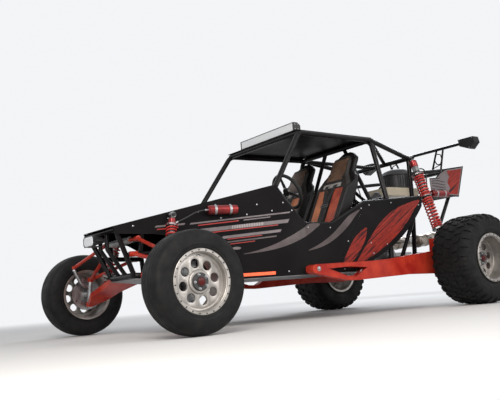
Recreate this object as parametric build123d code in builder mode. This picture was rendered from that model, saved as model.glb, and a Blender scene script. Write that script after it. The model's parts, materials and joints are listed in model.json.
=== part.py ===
from build123d import *
from math import atan, cos, radians, sin, tan
import os

# A two-seat sand car: tube frame, open engine behind the seats, long-travel suspension
# Frame: +X forward, +Y to the car's left, +Z up, origin on the ground under the middle of the car

# Main layout
WHEELBASE = 2940.0
FRONT_AXLE_X = 1680.0
REAR_AXLE_X = FRONT_AXLE_X - WHEELBASE
FRONT_TYRE_R = 348.0
TAIL_X = -(FRONT_AXLE_X + FRONT_TYRE_R)
BODY_HALF_WIDTH = 650.0
NOSE_X = 1925.0
NOSE_HALF_WIDTH = 270.0
PILLAR_X = 645.0
PILLAR_HALF_WIDTH = 596.0
NOSE_TOP_Z = 805.0
PILLAR_TOP_Z = 1096.0
FLOOR_Z = 385.0
ROOF_TOP_Z = 1590.0

# Tubes, sheets and gaps
MAIN_TUBE_R = 22.25
BRACE_TUBE_R = 19.0
LIGHT_TUBE_R = 16.0
MAIN_BEND_R = 90.0
BEND_CHORDS = 2
TUBE_FLATS = 8
BAR_FLATS = 8
HUB_FLATS = 10
DOME_FLATS = 18
STEERING_FLATS = 18
SHARP = 0.001
SHEET = 3.0
SEAT_GAP = 0.3
BORE_CLEARANCE = 0.05
MOVING_GAP = 5.0
RAIL_INSET = SHEET + SEAT_GAP + MAIN_TUBE_R

# Front wheels and steering
FRONT_TYRE_WIDTH = 240.0
FRONT_RIM_OUTER_Y = 1058.0
FRONT_RIM_INNER_Y = 836.0
RIM_BARREL_R = 190.0
RIM_RING_R = 216.0
RIM_LIP = 12.0
BEAD_R = 204.0
FRONT_DISC_Y = 1012.0
DISC_THICKNESS = 12.0
DISC_HOLE_COUNT = 8
DISC_HOLE_R = 31.0
DISC_HOLE_FLATS = 8
DISC_HOLE_PITCH_R = 122.0
DISC_HOLE_START_DEG = 11.0
HUB_R = 60.0
HUB_BACK = 30.0
HUB_FRONT = 24.0
HUB_CAP = 6.0
RIM_FLANGE_R = 211.0
WHEEL_FLATS = 24
TYRE_WALL = 14.0
KINGPIN_R = 12.0
LOWER_BOSS_HALF = 20.0
UPPER_BOSS_HALF = 17.0
UPRIGHT_R = 26.0
KNUCKLE_GAP = 2.0
BRAKE_DISC_R = 130.0
BRAKE_DISC_Y = 862.0
BRAKE_DISC_THICKNESS = 22.0
FRONT_STUB_R = 22.0
SPINDLE_R = 26.0
CALIPER = (44.0, 62.0, 96.0)
CALIPER_Z = 470.0
KINGPIN_LOW = (1680.0, 800.0, 262.0)
KINGPIN_HIGH = (1664.0, 794.0, 470.0)
STEER_ARM_END = (1812.0, 785.0, 556.0)
STEER_ARM_R = 15.0
RACK_TUBE_X = 1700.0
RACK_Z = 712.0
RACK_BAR_R = 14.0
RACK_HOUSING_R = 27.0
RACK_HOUSING_HALF = 170.0
RACK_BALL_Y = 290.0
RACK_BALL_R = 20.0
TIE_ROD_R = 14.0
TIE_EYE_R = 17.0
TIE_EYE_HEIGHT = 22.0
STEER_EYE_HALF = 6.0

# Rear wheels
REAR_TYRE_R = 400.0
REAR_TYRE_WIDTH = 392.0
REAR_RIM_OUTER_Y = 1175.0
REAR_RIM_INNER_Y = 790.0
REAR_DISC_Y = 1040.0
REAR_STUB_R = 30.0
ARM_PIVOT = (430.0, 400.0)
ARM_Y = 700.0
ARM_WIDTH = 62.0
PIVOT_BOSS_R = 36.0
CARRIER_TOP_Z = 620.0

# Shock absorbers
REAR_SHOCK_TOP = (-1190.0, 440.0, 1440.0)
REAR_SHOCK_LOW = (-1170.0, 700.0, 655.0)
FRONT_SHOCK_TOP = (1520.0, 436.0, 866.0)
FRONT_SHOCK_LOW = (1640.0, 540.0, 424.0)
SHOCK_SHAFT_R = 12.0
FRONT_BODY_R = 26.0
REAR_BODY_R = 33.0
SHOCK_EYE_R = 24.0
SHOCK_STUB_R = 14.0
SHOCK_PIN_R = 10.0
EAR = 8.0
EAR_OFFSET = 20.0
BUSH_R = 20.0
BUSH_SPREAD = 125.0
BUSH_LENGTH = 60.0
LOWER_ARM_START = 200.0
LOWER_ARM_THICKNESS = 42.0
LOWER_BOSS_R = 30.0
UPPER_BOSS_R = 27.0
UPPER_LEG_R = 15.0
STRUT_FOOT_Z = 1345.0

# Seats
SEAT_Y = 300.0
SEAT_WIDTH = 480.0
SEAT_SHELL = 45.0
CUSHION = 60.0

# Steering wheel
WHEEL_CENTRE = (300.0, 300.0, 1090.0)
WHEEL_R = 155.0
WHEEL_RIM_R = 15.0
WHEEL_TILT_DEG = 28.0
COLUMN_R = 14.0
COLUMN_TUBE_R = 20.0

# Values that follow from the sizes above
SIDE_SLOPE = (PILLAR_HALF_WIDTH - NOSE_HALF_WIDTH) / (NOSE_X - PILLAR_X)
SIDE_COS = cos(atan(SIDE_SLOPE))
CORNER_X = NOSE_X - (BODY_HALF_WIDTH - NOSE_HALF_WIDTH) / SIDE_SLOPE
TOP_SLOPE = (PILLAR_TOP_Z - NOSE_TOP_Z) / (NOSE_X - PILLAR_X)
TOP_COS = cos(atan(TOP_SLOPE))
NOSE_BOW = 26.0
TOP_INSET = SHEET + SEAT_GAP + MAIN_TUBE_R
ROOF_TUBE_Z = ROOF_TOP_Z - SHEET - SEAT_GAP - MAIN_TUBE_R
REAR_RAIL_Y = BODY_HALF_WIDTH - RAIL_INSET
RAIL_CORNER_X = NOSE_X - (REAR_RAIL_Y + RAIL_INSET / SIDE_COS - NOSE_HALF_WIDTH) / SIDE_SLOPE
COLUMN_COS = cos(radians(WHEEL_TILT_DEG))


def body_y(x):
    """Half-width of the body's outer face at x."""
    return min(BODY_HALF_WIDTH, NOSE_HALF_WIDTH + (NOSE_X - x) * SIDE_SLOPE)


def rail_y(x):
    """Half-width at the centre of a tube that lies against the side panel at x."""
    return min(REAR_RAIL_Y, NOSE_HALF_WIDTH + (NOSE_X - x) * SIDE_SLOPE - RAIL_INSET / SIDE_COS)


def top_z(x):
    """Height of the top rail's centre at x, under the nose panel."""
    return NOSE_TOP_Z + (NOSE_X - x) * TOP_SLOPE - TOP_INSET / TOP_COS


def bent_route(points, bends):
    """The points of a tube's route, with each bend of a stated radius laid out as short chords."""
    route = [Vector(*points[0])]
    for i in range(1, len(points) - 1):
        corner = Vector(*points[i])
        inward = (corner - Vector(*points[i - 1])).normalized()
        outward = (Vector(*points[i + 1]) - corner).normalized()
        bend = bends[i - 1] if i <= len(bends) else 0
        if bend:
            turn = inward.get_angle(outward)
            reach = bend * tan(radians(turn) / 2)
            side = (outward - inward * outward.dot(inward)).normalized()
            start = corner - inward * reach
            for step in range(BEND_CHORDS + 1):
                angle = radians(turn) * step / BEND_CHORDS
                route.append(start + inward * (bend * sin(angle)) + side * (bend * (1 - cos(angle))))
        else:
            route.append(corner)
    return route + [Vector(*points[-1])]


def tube_solids(points, radius, bends=()):
    """One tube as straight runs, mitred where they meet, all with the same flats along the tube."""
    route = bent_route(points, bends)
    flats = Vector(0, 0, 1).cross(route[1] - route[0])
    flats = flats.normalized() if flats.length > 1 else Vector(1, 0, 0)
    solids = []
    for i, (start, end) in enumerate(zip(route[:-1], route[1:])):
        along = (end - start).normalized()
        before = (start - route[i - 1]).normalized() if i else along
        after = (route[i + 2] - end).normalized() if i + 2 < len(route) else along
        if i:
            mitre = (before + along).normalized()
            flats = flats - mitre * (2 * flats.dot(mitre))
        flats = (flats - along * flats.dot(along)).normalized()
        base = Plane(origin=start - along * (radius if i else 0), x_dir=flats, z_dir=along)
        reach = (end - start).length + (radius if i else 0) + (radius if i + 2 < len(route) else 0)
        corners = [
            base.from_local_coords((radius * cos(radians(a)), radius * sin(radians(a)), 0))
            for a in range(0, 360, 360 // TUBE_FLATS)
        ]
        run = Solid.extrude(Face(Wire.make_polygon(corners)), along * reach)
        if i:
            run = run.split(Plane(origin=start, z_dir=before + along), keep=Keep.TOP)
        if i + 2 < len(route):
            run = run.split(Plane(origin=end, z_dir=along + after), keep=Keep.BOTTOM)
        solids.append(run)
    return solids


# Wheels and round bars stand in flats: few faces where many alike repeat
def faceted(rings, closed=False):
    """A solid with flat faces between rings of points, capped at its ends or closed on itself."""
    faces = []
    pairs = list(zip(rings[:-1], rings[1:]))
    if closed:
        pairs.append((rings[-1], rings[0]))
    else:
        faces += [Face(Wire.make_polygon(rings[0])), Face(Wire.make_polygon(rings[-1]))]
    for lower, upper in pairs:
        for i in range(len(lower)):
            loop = [lower[i - 1], lower[i], upper[i], upper[i - 1]]
            corners = [point for n, point in enumerate(loop) if (point - loop[n - 1]).length > SHARP]
            if len(corners) > 2:
                faces.append(Face(Wire.make_polygon(corners)))
    return Solid(Shell(faces))


def turned(outline, plane, flats):
    """An outline of (offset along the axis, radius) points, turned about the axis in flats."""
    rings = []
    for step in range(flats):
        angle = radians((step + 0.5) * 360 / flats)
        reach = 1 / cos(radians(180 / flats))
        rings.append([
            plane.from_local_coords((radius * reach * cos(angle), radius * reach * sin(angle), offset))
            for offset, radius in outline
        ])
    return faceted(rings, closed=True)


def bar(start, end, radius, flats=BAR_FLATS):
    """A straight bar between two points, added to the open part."""
    run = Vector(*end) - Vector(*start)
    with BuildSketch(Plane(origin=start, z_dir=run)) as section:
        RegularPolygon(radius, flats)
    extrude(section.sketch, amount=run.length)


def drill(plane, radius, depth):
    """A round bore cut from the open part, from the plane along its normal."""
    with BuildSketch(plane) as section:
        Circle(radius)
    extrude(section.sketch, amount=depth, mode=Mode.SUBTRACT)


# Key points of the frame's left half
BAY_Z = 600.0
DOOR_SILL_Z = 765.0
DECK_FRONT_Z = 950.0
door_front = (RAIL_CORNER_X, REAR_RAIL_Y, DOOR_SILL_Z)
door_back = (130.0, REAR_RAIL_Y, DOOR_SILL_Z)
deck_front = (-280.0, REAR_RAIL_Y, DECK_FRONT_Z)
bay_front = (1790.0, 225.0, BAY_Z)
bay_rear = (1400.0, 340.0, BAY_Z)
TAIL_BAR_X = -1780.0
KEEL_X = 1880.0
KEEL_Y = 60.0
nose_corner = (NOSE_X - 30, rail_y(NOSE_X - 30), top_z(NOSE_X - 30))
pillar_base = (PILLAR_X, rail_y(PILLAR_X), top_z(PILLAR_X))
roof_front = (300.0, 515.0, ROOF_TUBE_Z)
roof_rear = (-590.0, 485.0, ROOF_TUBE_Z)
hoop_mid = (-575.0, REAR_RAIL_Y, 1000.0)
hoop_foot = (-560.0, REAR_RAIL_Y, FLOOR_Z)
keel_low = (1740.0, 200.0, 445.0)
floor_front = (1004.0, rail_y(1004.0), FLOOR_Z)
floor_corner = (RAIL_CORNER_X, REAR_RAIL_Y, FLOOR_Z)
tower = (-1190.0, 400.0, 1440.0)
tower_mid = (-1185.0, 400.0, 1030.0)
cradle_front = (-900.0, 420.0, 430.0)
cradle_mid = (-1260.0, 290.0, 500.0)
cradle_end = (-1500.0, 290.0, 500.0)
tail_low = (-1880.0, 390.0, 1100.0)
tail_high = (-1940.0, tail_low[1], 1370.0)
deck_end = (-1020.0, REAR_RAIL_Y, 1010.0)
sill_front = (900.0, rail_y(900.0), FLOOR_Z)
bay_post_foot = (bay_rear[0], 311.0, 418.0)
keel_bend = (KEEL_X, KEEL_Y, 655.0)
keel_foot = (1735.0, KEEL_Y, keel_low[2])

# Left half of the frame: radius of the tube, its points, bend radii of its first corners
R, B, L = MAIN_TUBE_R, BRACE_TUBE_R, LIGHT_TUBE_R
frame_tubes = [
    (R, [nose_corner, pillar_base, roof_front, roof_rear], [0, MAIN_BEND_R]),
    (R, [(roof_rear[0], 0, roof_rear[2]), roof_rear, hoop_mid, hoop_foot], [MAIN_BEND_R]),
    (R, [(keel_low[0], 0, keel_low[2]), keel_low, floor_front, floor_corner, hoop_foot, cradle_front,
         cradle_mid, cradle_end], []),
    (R, [pillar_base, door_front, door_back, deck_front, deck_end], []),
    (R, [roof_rear, tower], []),
    (R, [(tower[0], 0, tower[2]), tower, tower_mid, cradle_mid], []),
    (B, [(roof_front[0], 0, ROOF_TUBE_Z), roof_front], []),
    (B, [(PILLAR_X, 0, pillar_base[2]), pillar_base], []),
    (B, [(hoop_mid[0], 0, hoop_mid[2]), hoop_mid], []),
    (B, [(hoop_foot[0], 0, FLOOR_Z), hoop_foot], []),
    (B, [(nose_corner[0], 0, nose_corner[2]), nose_corner], []),
    (B, [(roof_rear[0], 130, ROOF_TUBE_Z), (hoop_mid[0], 430, hoop_mid[2])], []),
    (B, [roof_rear, (tower[0], 90, tower[2])], []),
    (B, [deck_end, tower_mid], []),
    (B, [deck_end, cradle_front], []),
    (B, [nose_corner, keel_low], []),
    (B, [(bay_rear[0], rail_y(bay_rear[0]), top_z(bay_rear[0])), bay_post_foot], []),
    (B, [pillar_base, sill_front], []),
    (B, [door_front, floor_corner], []),
    (B, [(sill_front[0], 0, FLOOR_Z), sill_front], []),
    (B, [bay_front, bay_rear], []),
    (B, [(cradle_end[0], 0, cradle_end[2]), cradle_end], []),
    (B, [(tower[0], tail_high[1], 1290), tail_high], []),
    (B, [(tower_mid[0], tail_low[1], tower_mid[2]), tail_low], []),
    (B, [(tail_low[0], 0, tail_low[2]), tail_low], []),
    (B, [(tail_high[0], 0, tail_high[2]), tail_high], []),
    (B, [(tail_low[0], 300, tail_low[2]), cradle_end], []),
    (L, [(KEEL_X, KEEL_Y, nose_corner[2]), keel_bend, keel_foot], []),
    (L, [(TAIL_BAR_X, 0, STRUT_FOOT_Z), (TAIL_BAR_X, tail_low[1], STRUT_FOOT_Z)], []),
    (L, [(RACK_TUBE_X, 252, BAY_Z), (RACK_TUBE_X, rail_y(RACK_TUBE_X), top_z(RACK_TUBE_X))], []),
    (L, [(RACK_TUBE_X, 0, RACK_Z), (RACK_TUBE_X, 280, RACK_Z)], []),
    (SHOCK_STUB_R, [(FRONT_SHOCK_TOP[0], rail_y(FRONT_SHOCK_TOP[0]), FRONT_SHOCK_TOP[2]),
                    (FRONT_SHOCK_TOP[0], FRONT_SHOCK_TOP[1] + EAR_OFFSET + 8, FRONT_SHOCK_TOP[2])], []),
    (SHOCK_STUB_R, [(REAR_SHOCK_TOP[0], tower[1], REAR_SHOCK_TOP[2]),
                    (REAR_SHOCK_TOP[0], REAR_SHOCK_TOP[1] + EAR_OFFSET + 8, REAR_SHOCK_TOP[2])], []),
]

# The whole frame, left half and its mirror image
with BuildPart() as frame:
    add([solid for radius, points, bends in frame_tubes for solid in tube_solids(points, radius, bends)])
    mirror(about=Plane.XZ)

# The frame is parted across its tubes into four welded pieces
FRONT_CUT_X = 960.0
REAR_CUT_X = -620.0
CAGE_CUT_Z = 1110.0
with BuildPart() as frame_front:
    add(frame.part)
    split(bisect_by=Plane.YZ.offset(FRONT_CUT_X), keep=Keep.TOP)
with BuildPart() as frame_rear:
    add(frame.part)
    split(bisect_by=Plane.YZ.offset(REAR_CUT_X), keep=Keep.BOTTOM)
with BuildPart() as frame_cage:
    add(frame.part)
    split(bisect_by=Plane.YZ.offset(REAR_CUT_X), keep=Keep.TOP)
    split(bisect_by=Plane.XY.offset(CAGE_CUT_Z), keep=Keep.TOP)
with BuildPart() as frame_cockpit:
    add(frame.part)
    split(bisect_by=Plane.YZ.offset(FRONT_CUT_X), keep=Keep.BOTTOM)
    split(bisect_by=Plane.YZ.offset(REAR_CUT_X), keep=Keep.TOP)
    split(bisect_by=Plane.XY.offset(CAGE_CUT_Z), keep=Keep.BOTTOM)

# Side and rear panels: a bent strip in plan, cut to the outline seen from the side
INNER_CORNER_X = NOSE_X - (BODY_HALF_WIDTH - SHEET - NOSE_HALF_WIDTH + SHEET / SIDE_COS) / SIDE_SLOPE
skin_plan = [
    (NOSE_X, body_y(NOSE_X)),
    (CORNER_X, BODY_HALF_WIDTH),
    (deck_end[0] - 40, BODY_HALF_WIDTH),
    (deck_end[0] - 40, BODY_HALF_WIDTH - SHEET),
    (INNER_CORNER_X, BODY_HALF_WIDTH - SHEET),
    (NOSE_X, NOSE_HALF_WIDTH - SHEET / SIDE_COS),
]
PANEL_LOW_Z = FLOOR_Z - MAIN_TUBE_R - SEAT_GAP - SHEET - 1
DOOR_EDGE = 8.0
PANEL_SPLIT = 3.0
SPLIT_TOP_X = deck_front[0]
SPLIT_LOW_X = 144.0
top_edge_drop = SHEET + 1.0
front_outline = [
    (NOSE_X, NOSE_TOP_Z - top_edge_drop),
    (PILLAR_X, PILLAR_TOP_Z - top_edge_drop),
    (PILLAR_X - 40, PILLAR_TOP_Z - 95),
    (door_front[0], DOOR_SILL_Z + DOOR_EDGE),
    (door_back[0], DOOR_SILL_Z + DOOR_EDGE),
    (SPLIT_TOP_X, DECK_FRONT_Z + DOOR_EDGE),
    (SPLIT_LOW_X, PANEL_LOW_Z),
    (1004, PANEL_LOW_Z + 10),
    (1150, 430),
    (1330, 640),
    (1500, 715),
    (1640, 737),
    (1895, 748),
]
SKIN_SPAN = 1200.0
with BuildPart() as side_panels:
    with BuildSketch(Plane.XY.offset(200)):
        Polygon(*skin_plan, align=None)
    extrude(amount=SKIN_SPAN)
    with BuildSketch(Plane.XZ):
        Polygon(*front_outline, align=None)
    extrude(amount=-BODY_HALF_WIDTH, mode=Mode.INTERSECT)
    with BuildSketch(Plane(origin=(FRONT_SHOCK_TOP[0], 0, FRONT_SHOCK_TOP[2]), z_dir=(0, 1, 0))):
        RegularPolygon(SHOCK_STUB_R + 2, BAR_FLATS)
    extrude(amount=BODY_HALF_WIDTH, mode=Mode.SUBTRACT)
    mirror(about=Plane.XZ)

with BuildPart() as rear_panels:
    with BuildSketch(Plane.XY.offset(200)):
        Polygon(*skin_plan, align=None)
    extrude(amount=SKIN_SPAN)
    with BuildSketch(Plane.XZ):
        with BuildLine():
            rear_top = Polyline(
                (-60, PANEL_LOW_Z + 36),
                (SPLIT_LOW_X - PANEL_SPLIT, PANEL_LOW_Z),
                (SPLIT_TOP_X - PANEL_SPLIT, DECK_FRONT_Z + DOOR_EDGE),
                (deck_end[0], deck_end[2] + DOOR_EDGE),
                (deck_end[0] + 8, 930),
            )
            ThreePointArc(rear_top @ 1, (-660, 622), rear_top @ 0)
        make_face()
    extrude(amount=-BODY_HALF_WIDTH, mode=Mode.INTERSECT)
    mirror(about=Plane.XZ)

# Nose panel on the top rails, level across and sloping with them
nose_length = (NOSE_X - PILLAR_X) / TOP_COS
nose_plane = Plane(origin=(NOSE_X, 0, NOSE_TOP_Z), x_dir=(-TOP_COS, 0, sin(atan(TOP_SLOPE))),
                   z_dir=(sin(atan(TOP_SLOPE)), 0, TOP_COS))
PILLAR_NOTCH = 36.0
notch_y = pillar_base[1] - MAIN_TUBE_R - 8
with BuildPart() as nose_panel:
    with BuildSketch(nose_plane):
        with BuildLine():
            nose_edge = Polyline(
                (0, NOSE_HALF_WIDTH),
                (nose_length - PILLAR_NOTCH, PILLAR_HALF_WIDTH - PILLAR_NOTCH * SIDE_SLOPE * TOP_COS),
                (nose_length - PILLAR_NOTCH, notch_y),
                (nose_length, notch_y),
                (nose_length, -notch_y),
                (nose_length - PILLAR_NOTCH, -notch_y),
                (nose_length - PILLAR_NOTCH, PILLAR_NOTCH * SIDE_SLOPE * TOP_COS - PILLAR_HALF_WIDTH),
                (0, -NOSE_HALF_WIDTH),
            )
            ThreePointArc(nose_edge @ 0, (-NOSE_BOW, 0), nose_edge @ 1)
        make_face()
    extrude(amount=-SHEET)

# Dash below the cross tube between the pillars, with the hole that the steering column passes through
DASH_X = PILLAR_X - BRACE_TUBE_R - SEAT_GAP - SHEET
column_drop = (DASH_X - WHEEL_CENTRE[0]) * tan(radians(WHEEL_TILT_DEG))
column_at_dash = (WHEEL_CENTRE[1], WHEEL_CENTRE[2] - column_drop)
with BuildPart() as dash_panel:
    with BuildSketch(Plane.YZ.offset(DASH_X)):
        Polygon((-545, 1075), (545, 1075), (520, 880), (300, 820), (-300, 820), (-520, 880), align=None)
        with Locations(column_at_dash):
            Rectangle(COLUMN_TUBE_R * 2 + 4, COLUMN_TUBE_R * 2 / COLUMN_COS + 8, mode=Mode.SUBTRACT)
    extrude(amount=SHEET)

# Roof sheet on the cage
with BuildPart() as roof_panel:
    with BuildSketch(Plane.XY.offset(ROOF_TOP_Z)):
        Polygon(
            (roof_front[0] + MAIN_TUBE_R, -roof_front[1] - 8),
            (roof_front[0] + MAIN_TUBE_R, roof_front[1] + 8),
            (roof_rear[0] - 12, roof_rear[1] + 8),
            (roof_rear[0] - 12, -roof_rear[1] - 8),
            align=None,
        )
    extrude(amount=-SHEET)

# Belly pan under the floor tubes: its side view, cut to its plan
PAN_TOP_Z = FLOOR_Z - MAIN_TUBE_R - SEAT_GAP
pan_line = [
    (keel_low[0], keel_low[2] - MAIN_TUBE_R - SEAT_GAP - 1),
    (floor_front[0], PAN_TOP_Z),
    (hoop_foot[0], PAN_TOP_Z),
    (cradle_front[0], cradle_front[2] - MAIN_TUBE_R - SEAT_GAP - 1),
]
pan_plan = [
    (keel_low[0] + 20, keel_low[1] + 20),
    (floor_front[0], body_y(floor_front[0]) - SHEET - 1),
    (CORNER_X, BODY_HALF_WIDTH - SHEET - 1),
    (hoop_foot[0], BODY_HALF_WIDTH - SHEET - 1),
    (cradle_front[0], cradle_front[1] + 20),
]
with BuildPart() as belly_pan:
    with BuildSketch(Plane.XZ):
        Polygon(*pan_line, *[(x, z - SHEET) for x, z in reversed(pan_line)], align=None)
    extrude(amount=BODY_HALF_WIDTH, both=True)
    with BuildSketch(Plane.XY.offset(200)):
        Polygon(*pan_plan, *[(x, -y) for x, y in reversed(pan_plan)], align=None)
    extrude(amount=500, mode=Mode.INTERSECT)

# Light bar on two feet on the roof
BAR_X = 185.0
BAR_DEPTH = 65.0
BAR_HALF_LENGTH = 400.0
BAR_LOW_Z = 1613.0
BAR_TOP_Z = 1690.0
LENS_DEPTH = 10.0
BEZEL = 6.0
with BuildPart() as light_bar:
    with BuildSketch(Plane.XZ.offset(-BAR_HALF_LENGTH)):
        Polygon(
            (BAR_X, BAR_LOW_Z),
            (BAR_X + BAR_DEPTH, BAR_LOW_Z),
            (BAR_X + BAR_DEPTH, BAR_TOP_Z),
            (BAR_X + 18, BAR_TOP_Z),
            (BAR_X - 12, BAR_TOP_Z - 22),
            (BAR_X - 12, BAR_LOW_Z + 22),
            align=None,
        )
    extrude(amount=BAR_HALF_LENGTH * 2)
    with BuildSketch(Plane.YZ.offset(BAR_X + BAR_DEPTH)):
        with Locations((0, (BAR_LOW_Z + BAR_TOP_Z) / 2)):
            Rectangle((BAR_HALF_LENGTH - BEZEL * 2) * 2, BAR_TOP_Z - BAR_LOW_Z - BEZEL * 2)
    extrude(amount=-LENS_DEPTH, mode=Mode.SUBTRACT)
    with BuildSketch(Plane.XY.offset(ROOF_TOP_Z)):
        with Locations((BAR_X + 25, 300), (BAR_X + 25, -300)):
            Rectangle(36, 30)
    extrude(amount=BAR_LOW_Z - ROOF_TOP_Z + 2)

with BuildPart() as light_bar_lens:
    with BuildSketch(Plane.YZ.offset(BAR_X + BAR_DEPTH - LENS_DEPTH)):
        with Locations((0, (BAR_LOW_Z + BAR_TOP_Z) / 2)):
            Rectangle(
                (BAR_HALF_LENGTH - BEZEL * 2 - SEAT_GAP) * 2,
                BAR_TOP_Z - BAR_LOW_Z - (BEZEL + SEAT_GAP) * 2,
            )
    extrude(amount=LENS_DEPTH - 2)

# Headlight pod under the nose, on two lugs against the keel tubes
LAMP_BACK_X = 1910.0
LAMP_DEPTH = 92.0
LAMP_WIDTH = 190.0
LAMP_Z = 722.0
LAMP_HEIGHT = 84.0
LAMP_RIM = 8.0
LAMP_CORNER = 20.0


def lamp_outline(x, inset):
    """Corners of the lamp's chamfered outline at x, drawn in from its full size."""
    y, z = LAMP_WIDTH / 2 - inset, LAMP_HEIGHT / 2 - inset
    cut = LAMP_CORNER - inset * 0.5
    upper = [(y, z - cut), (y - cut, z), (cut - y, z), (-y, z - cut)]
    lower = [(across, -up) for across, up in reversed(upper)]
    return [Vector(x, across, LAMP_Z + up) for across, up in upper + lower]


with BuildPart() as headlight:
    add(faceted([lamp_outline(LAMP_BACK_X, 22), lamp_outline(LAMP_BACK_X + LAMP_DEPTH, 0)]))
    lens_seat = [lamp_outline(LAMP_BACK_X + LAMP_DEPTH + x, LAMP_RIM) for x in (-LENS_DEPTH, 1)]
    add(faceted(lens_seat), mode=Mode.SUBTRACT)
    with BuildSketch(Plane.YZ.offset(KEEL_X + LIGHT_TUBE_R + SEAT_GAP)):
        with Locations((KEEL_Y, LAMP_Z), (-KEEL_Y, LAMP_Z)):
            Rectangle(16, 30)
    extrude(amount=LAMP_BACK_X - KEEL_X)

with BuildPart() as headlight_lens:
    lens_ends = [lamp_outline(LAMP_BACK_X + LAMP_DEPTH - x, LAMP_RIM + SEAT_GAP) for x in (LENS_DEPTH, 2)]
    add(faceted(lens_ends))

# Seats: bucket shells with wings on floor rails, and the cushions inside them
BACK_SLOPE = 0.519
BACK_FOOT = (47.0, 500.0)
HEAD_TOP_Z = 1480.0
SEAT_FRONT = (560.0, 560.0)
WING = 80.0
WING_THICKNESS = 26.0


def back_x(z, forward=0.0):
    """X of the seat shell's front face at height z, moved forward along its normal."""
    return BACK_FOOT[0] - (z - BACK_FOOT[1]) * BACK_SLOPE + forward * (1 + BACK_SLOPE**2) ** 0.5


shell_side = [
    (back_x(HEAD_TOP_Z), HEAD_TOP_Z),
    BACK_FOOT,
    SEAT_FRONT,
    (SEAT_FRONT[0] + 5, SEAT_FRONT[1] - SEAT_SHELL),
    (40, BACK_FOOT[1] - SEAT_SHELL),
    (back_x(455, -SEAT_SHELL) + 4, BACK_FOOT[1] - SEAT_SHELL),
    (back_x(HEAD_TOP_Z, -SEAT_SHELL), HEAD_TOP_Z),
]
wing_side = [
    (back_x(1190, -2), 1190),
    (back_x(1120, WING), 1120),
    (back_x(700, WING + 10), 700),
    (380, 640),
    (540, 600),
    (560, 540),
    (40, 470),
    (back_x(520, -20), 520),
]
head_outline = [
    (-240, 400),
    (240, 400),
    (240, 1130),
    (205, 1225),
    (150, 1275),
    (142, 1420),
    (100, 1480),
    (-100, 1480),
    (-142, 1420),
    (-150, 1275),
    (-205, 1225),
    (-240, 1130),
]
seat_halves = Plane.XZ.offset(-SEAT_WIDTH / 2)
with BuildPart() as seat_shells:
    with BuildSketch(seat_halves):
        Polygon(*shell_side, align=None)
    extrude(amount=SEAT_WIDTH)
    with BuildSketch(seat_halves):
        Polygon(*wing_side, align=None)
    extrude(amount=WING_THICKNESS)
    with BuildSketch(Plane.XZ.offset(SEAT_WIDTH / 2 - WING_THICKNESS)):
        Polygon(*wing_side, align=None)
    extrude(amount=WING_THICKNESS)
    with BuildSketch(Plane.YZ.offset(-600)):
        Polygon(*head_outline, align=None)
    extrude(amount=1300, mode=Mode.INTERSECT)
    with BuildSketch(Plane.XY.offset(PAN_TOP_Z)):
        with Locations((270, 150), (270, -150)):
            Rectangle(420, 30)
    extrude(until=Until.NEXT)
    bucket = seat_shells.part

with BuildPart() as seat_pair:
    with Locations((0, SEAT_Y, 0), (0, -SEAT_Y, 0)):
        add(bucket)

cushion_side = [
    (back_x(1450, SEAT_GAP), 1450),
    (back_x(503, SEAT_GAP), 503.0),
    (SEAT_FRONT[0] - 8, SEAT_FRONT[1] + 1.5),
    (SEAT_FRONT[0] - 12, SEAT_FRONT[1] + CUSHION),
    (back_x(560, CUSHION) + 20, 503 + CUSHION),
    (back_x(620, CUSHION), 620),
    (back_x(1235, CUSHION), 1235),
    (back_x(1290, CUSHION * 0.7), 1290),
    (back_x(1420, CUSHION * 0.9), 1420),
]
cushion_front = [
    (-205, 400),
    (205, 400),
    (205, 1150),
    (130, 1250),
    (118, 1300),
    (118, 1450),
    (-118, 1450),
    (-118, 1300),
    (-130, 1250),
    (-205, 1150),
]
with BuildPart() as cushion:
    with BuildSketch(Plane.XZ.offset(-205)):
        Polygon(*cushion_side, align=None)
    extrude(amount=410)
    with BuildSketch(Plane.YZ.offset(-600)):
        Polygon(*cushion_front, align=None)
    extrude(amount=1300, mode=Mode.INTERSECT)

with BuildPart() as seat_cushions:
    with Locations((0, SEAT_Y, 0), (0, -SEAT_Y, 0)):
        add(cushion.part)

# Console between the seats with the gear lever
CONSOLE_HALF = 50.0
knob_outline = [(-18, 10), (-8, 22), (8, 22), (20, 10), (20, 0), (-18, 0)]
with BuildPart() as console:
    with BuildSketch(Plane.XZ.offset(-CONSOLE_HALF)):
        Polygon((60, PAN_TOP_Z), (600, PAN_TOP_Z), (600, 470), (420, 560), (60, 560), align=None)
    extrude(amount=CONSOLE_HALF * 2)
    bar((300, 0, 550), (300, 0, 750), 9)
    add(turned(knob_outline, Plane(origin=(300, 0, 758)), BAR_FLATS))


# Wheels turn about axles that lie across the car
def wheel_plane(x, y, z):
    """A plane across a left wheel's axle: local X up, local Z outboard."""
    return Plane(origin=(x, y, z), x_dir=(0, 0, 1), z_dir=(0, 1, 0))


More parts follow.
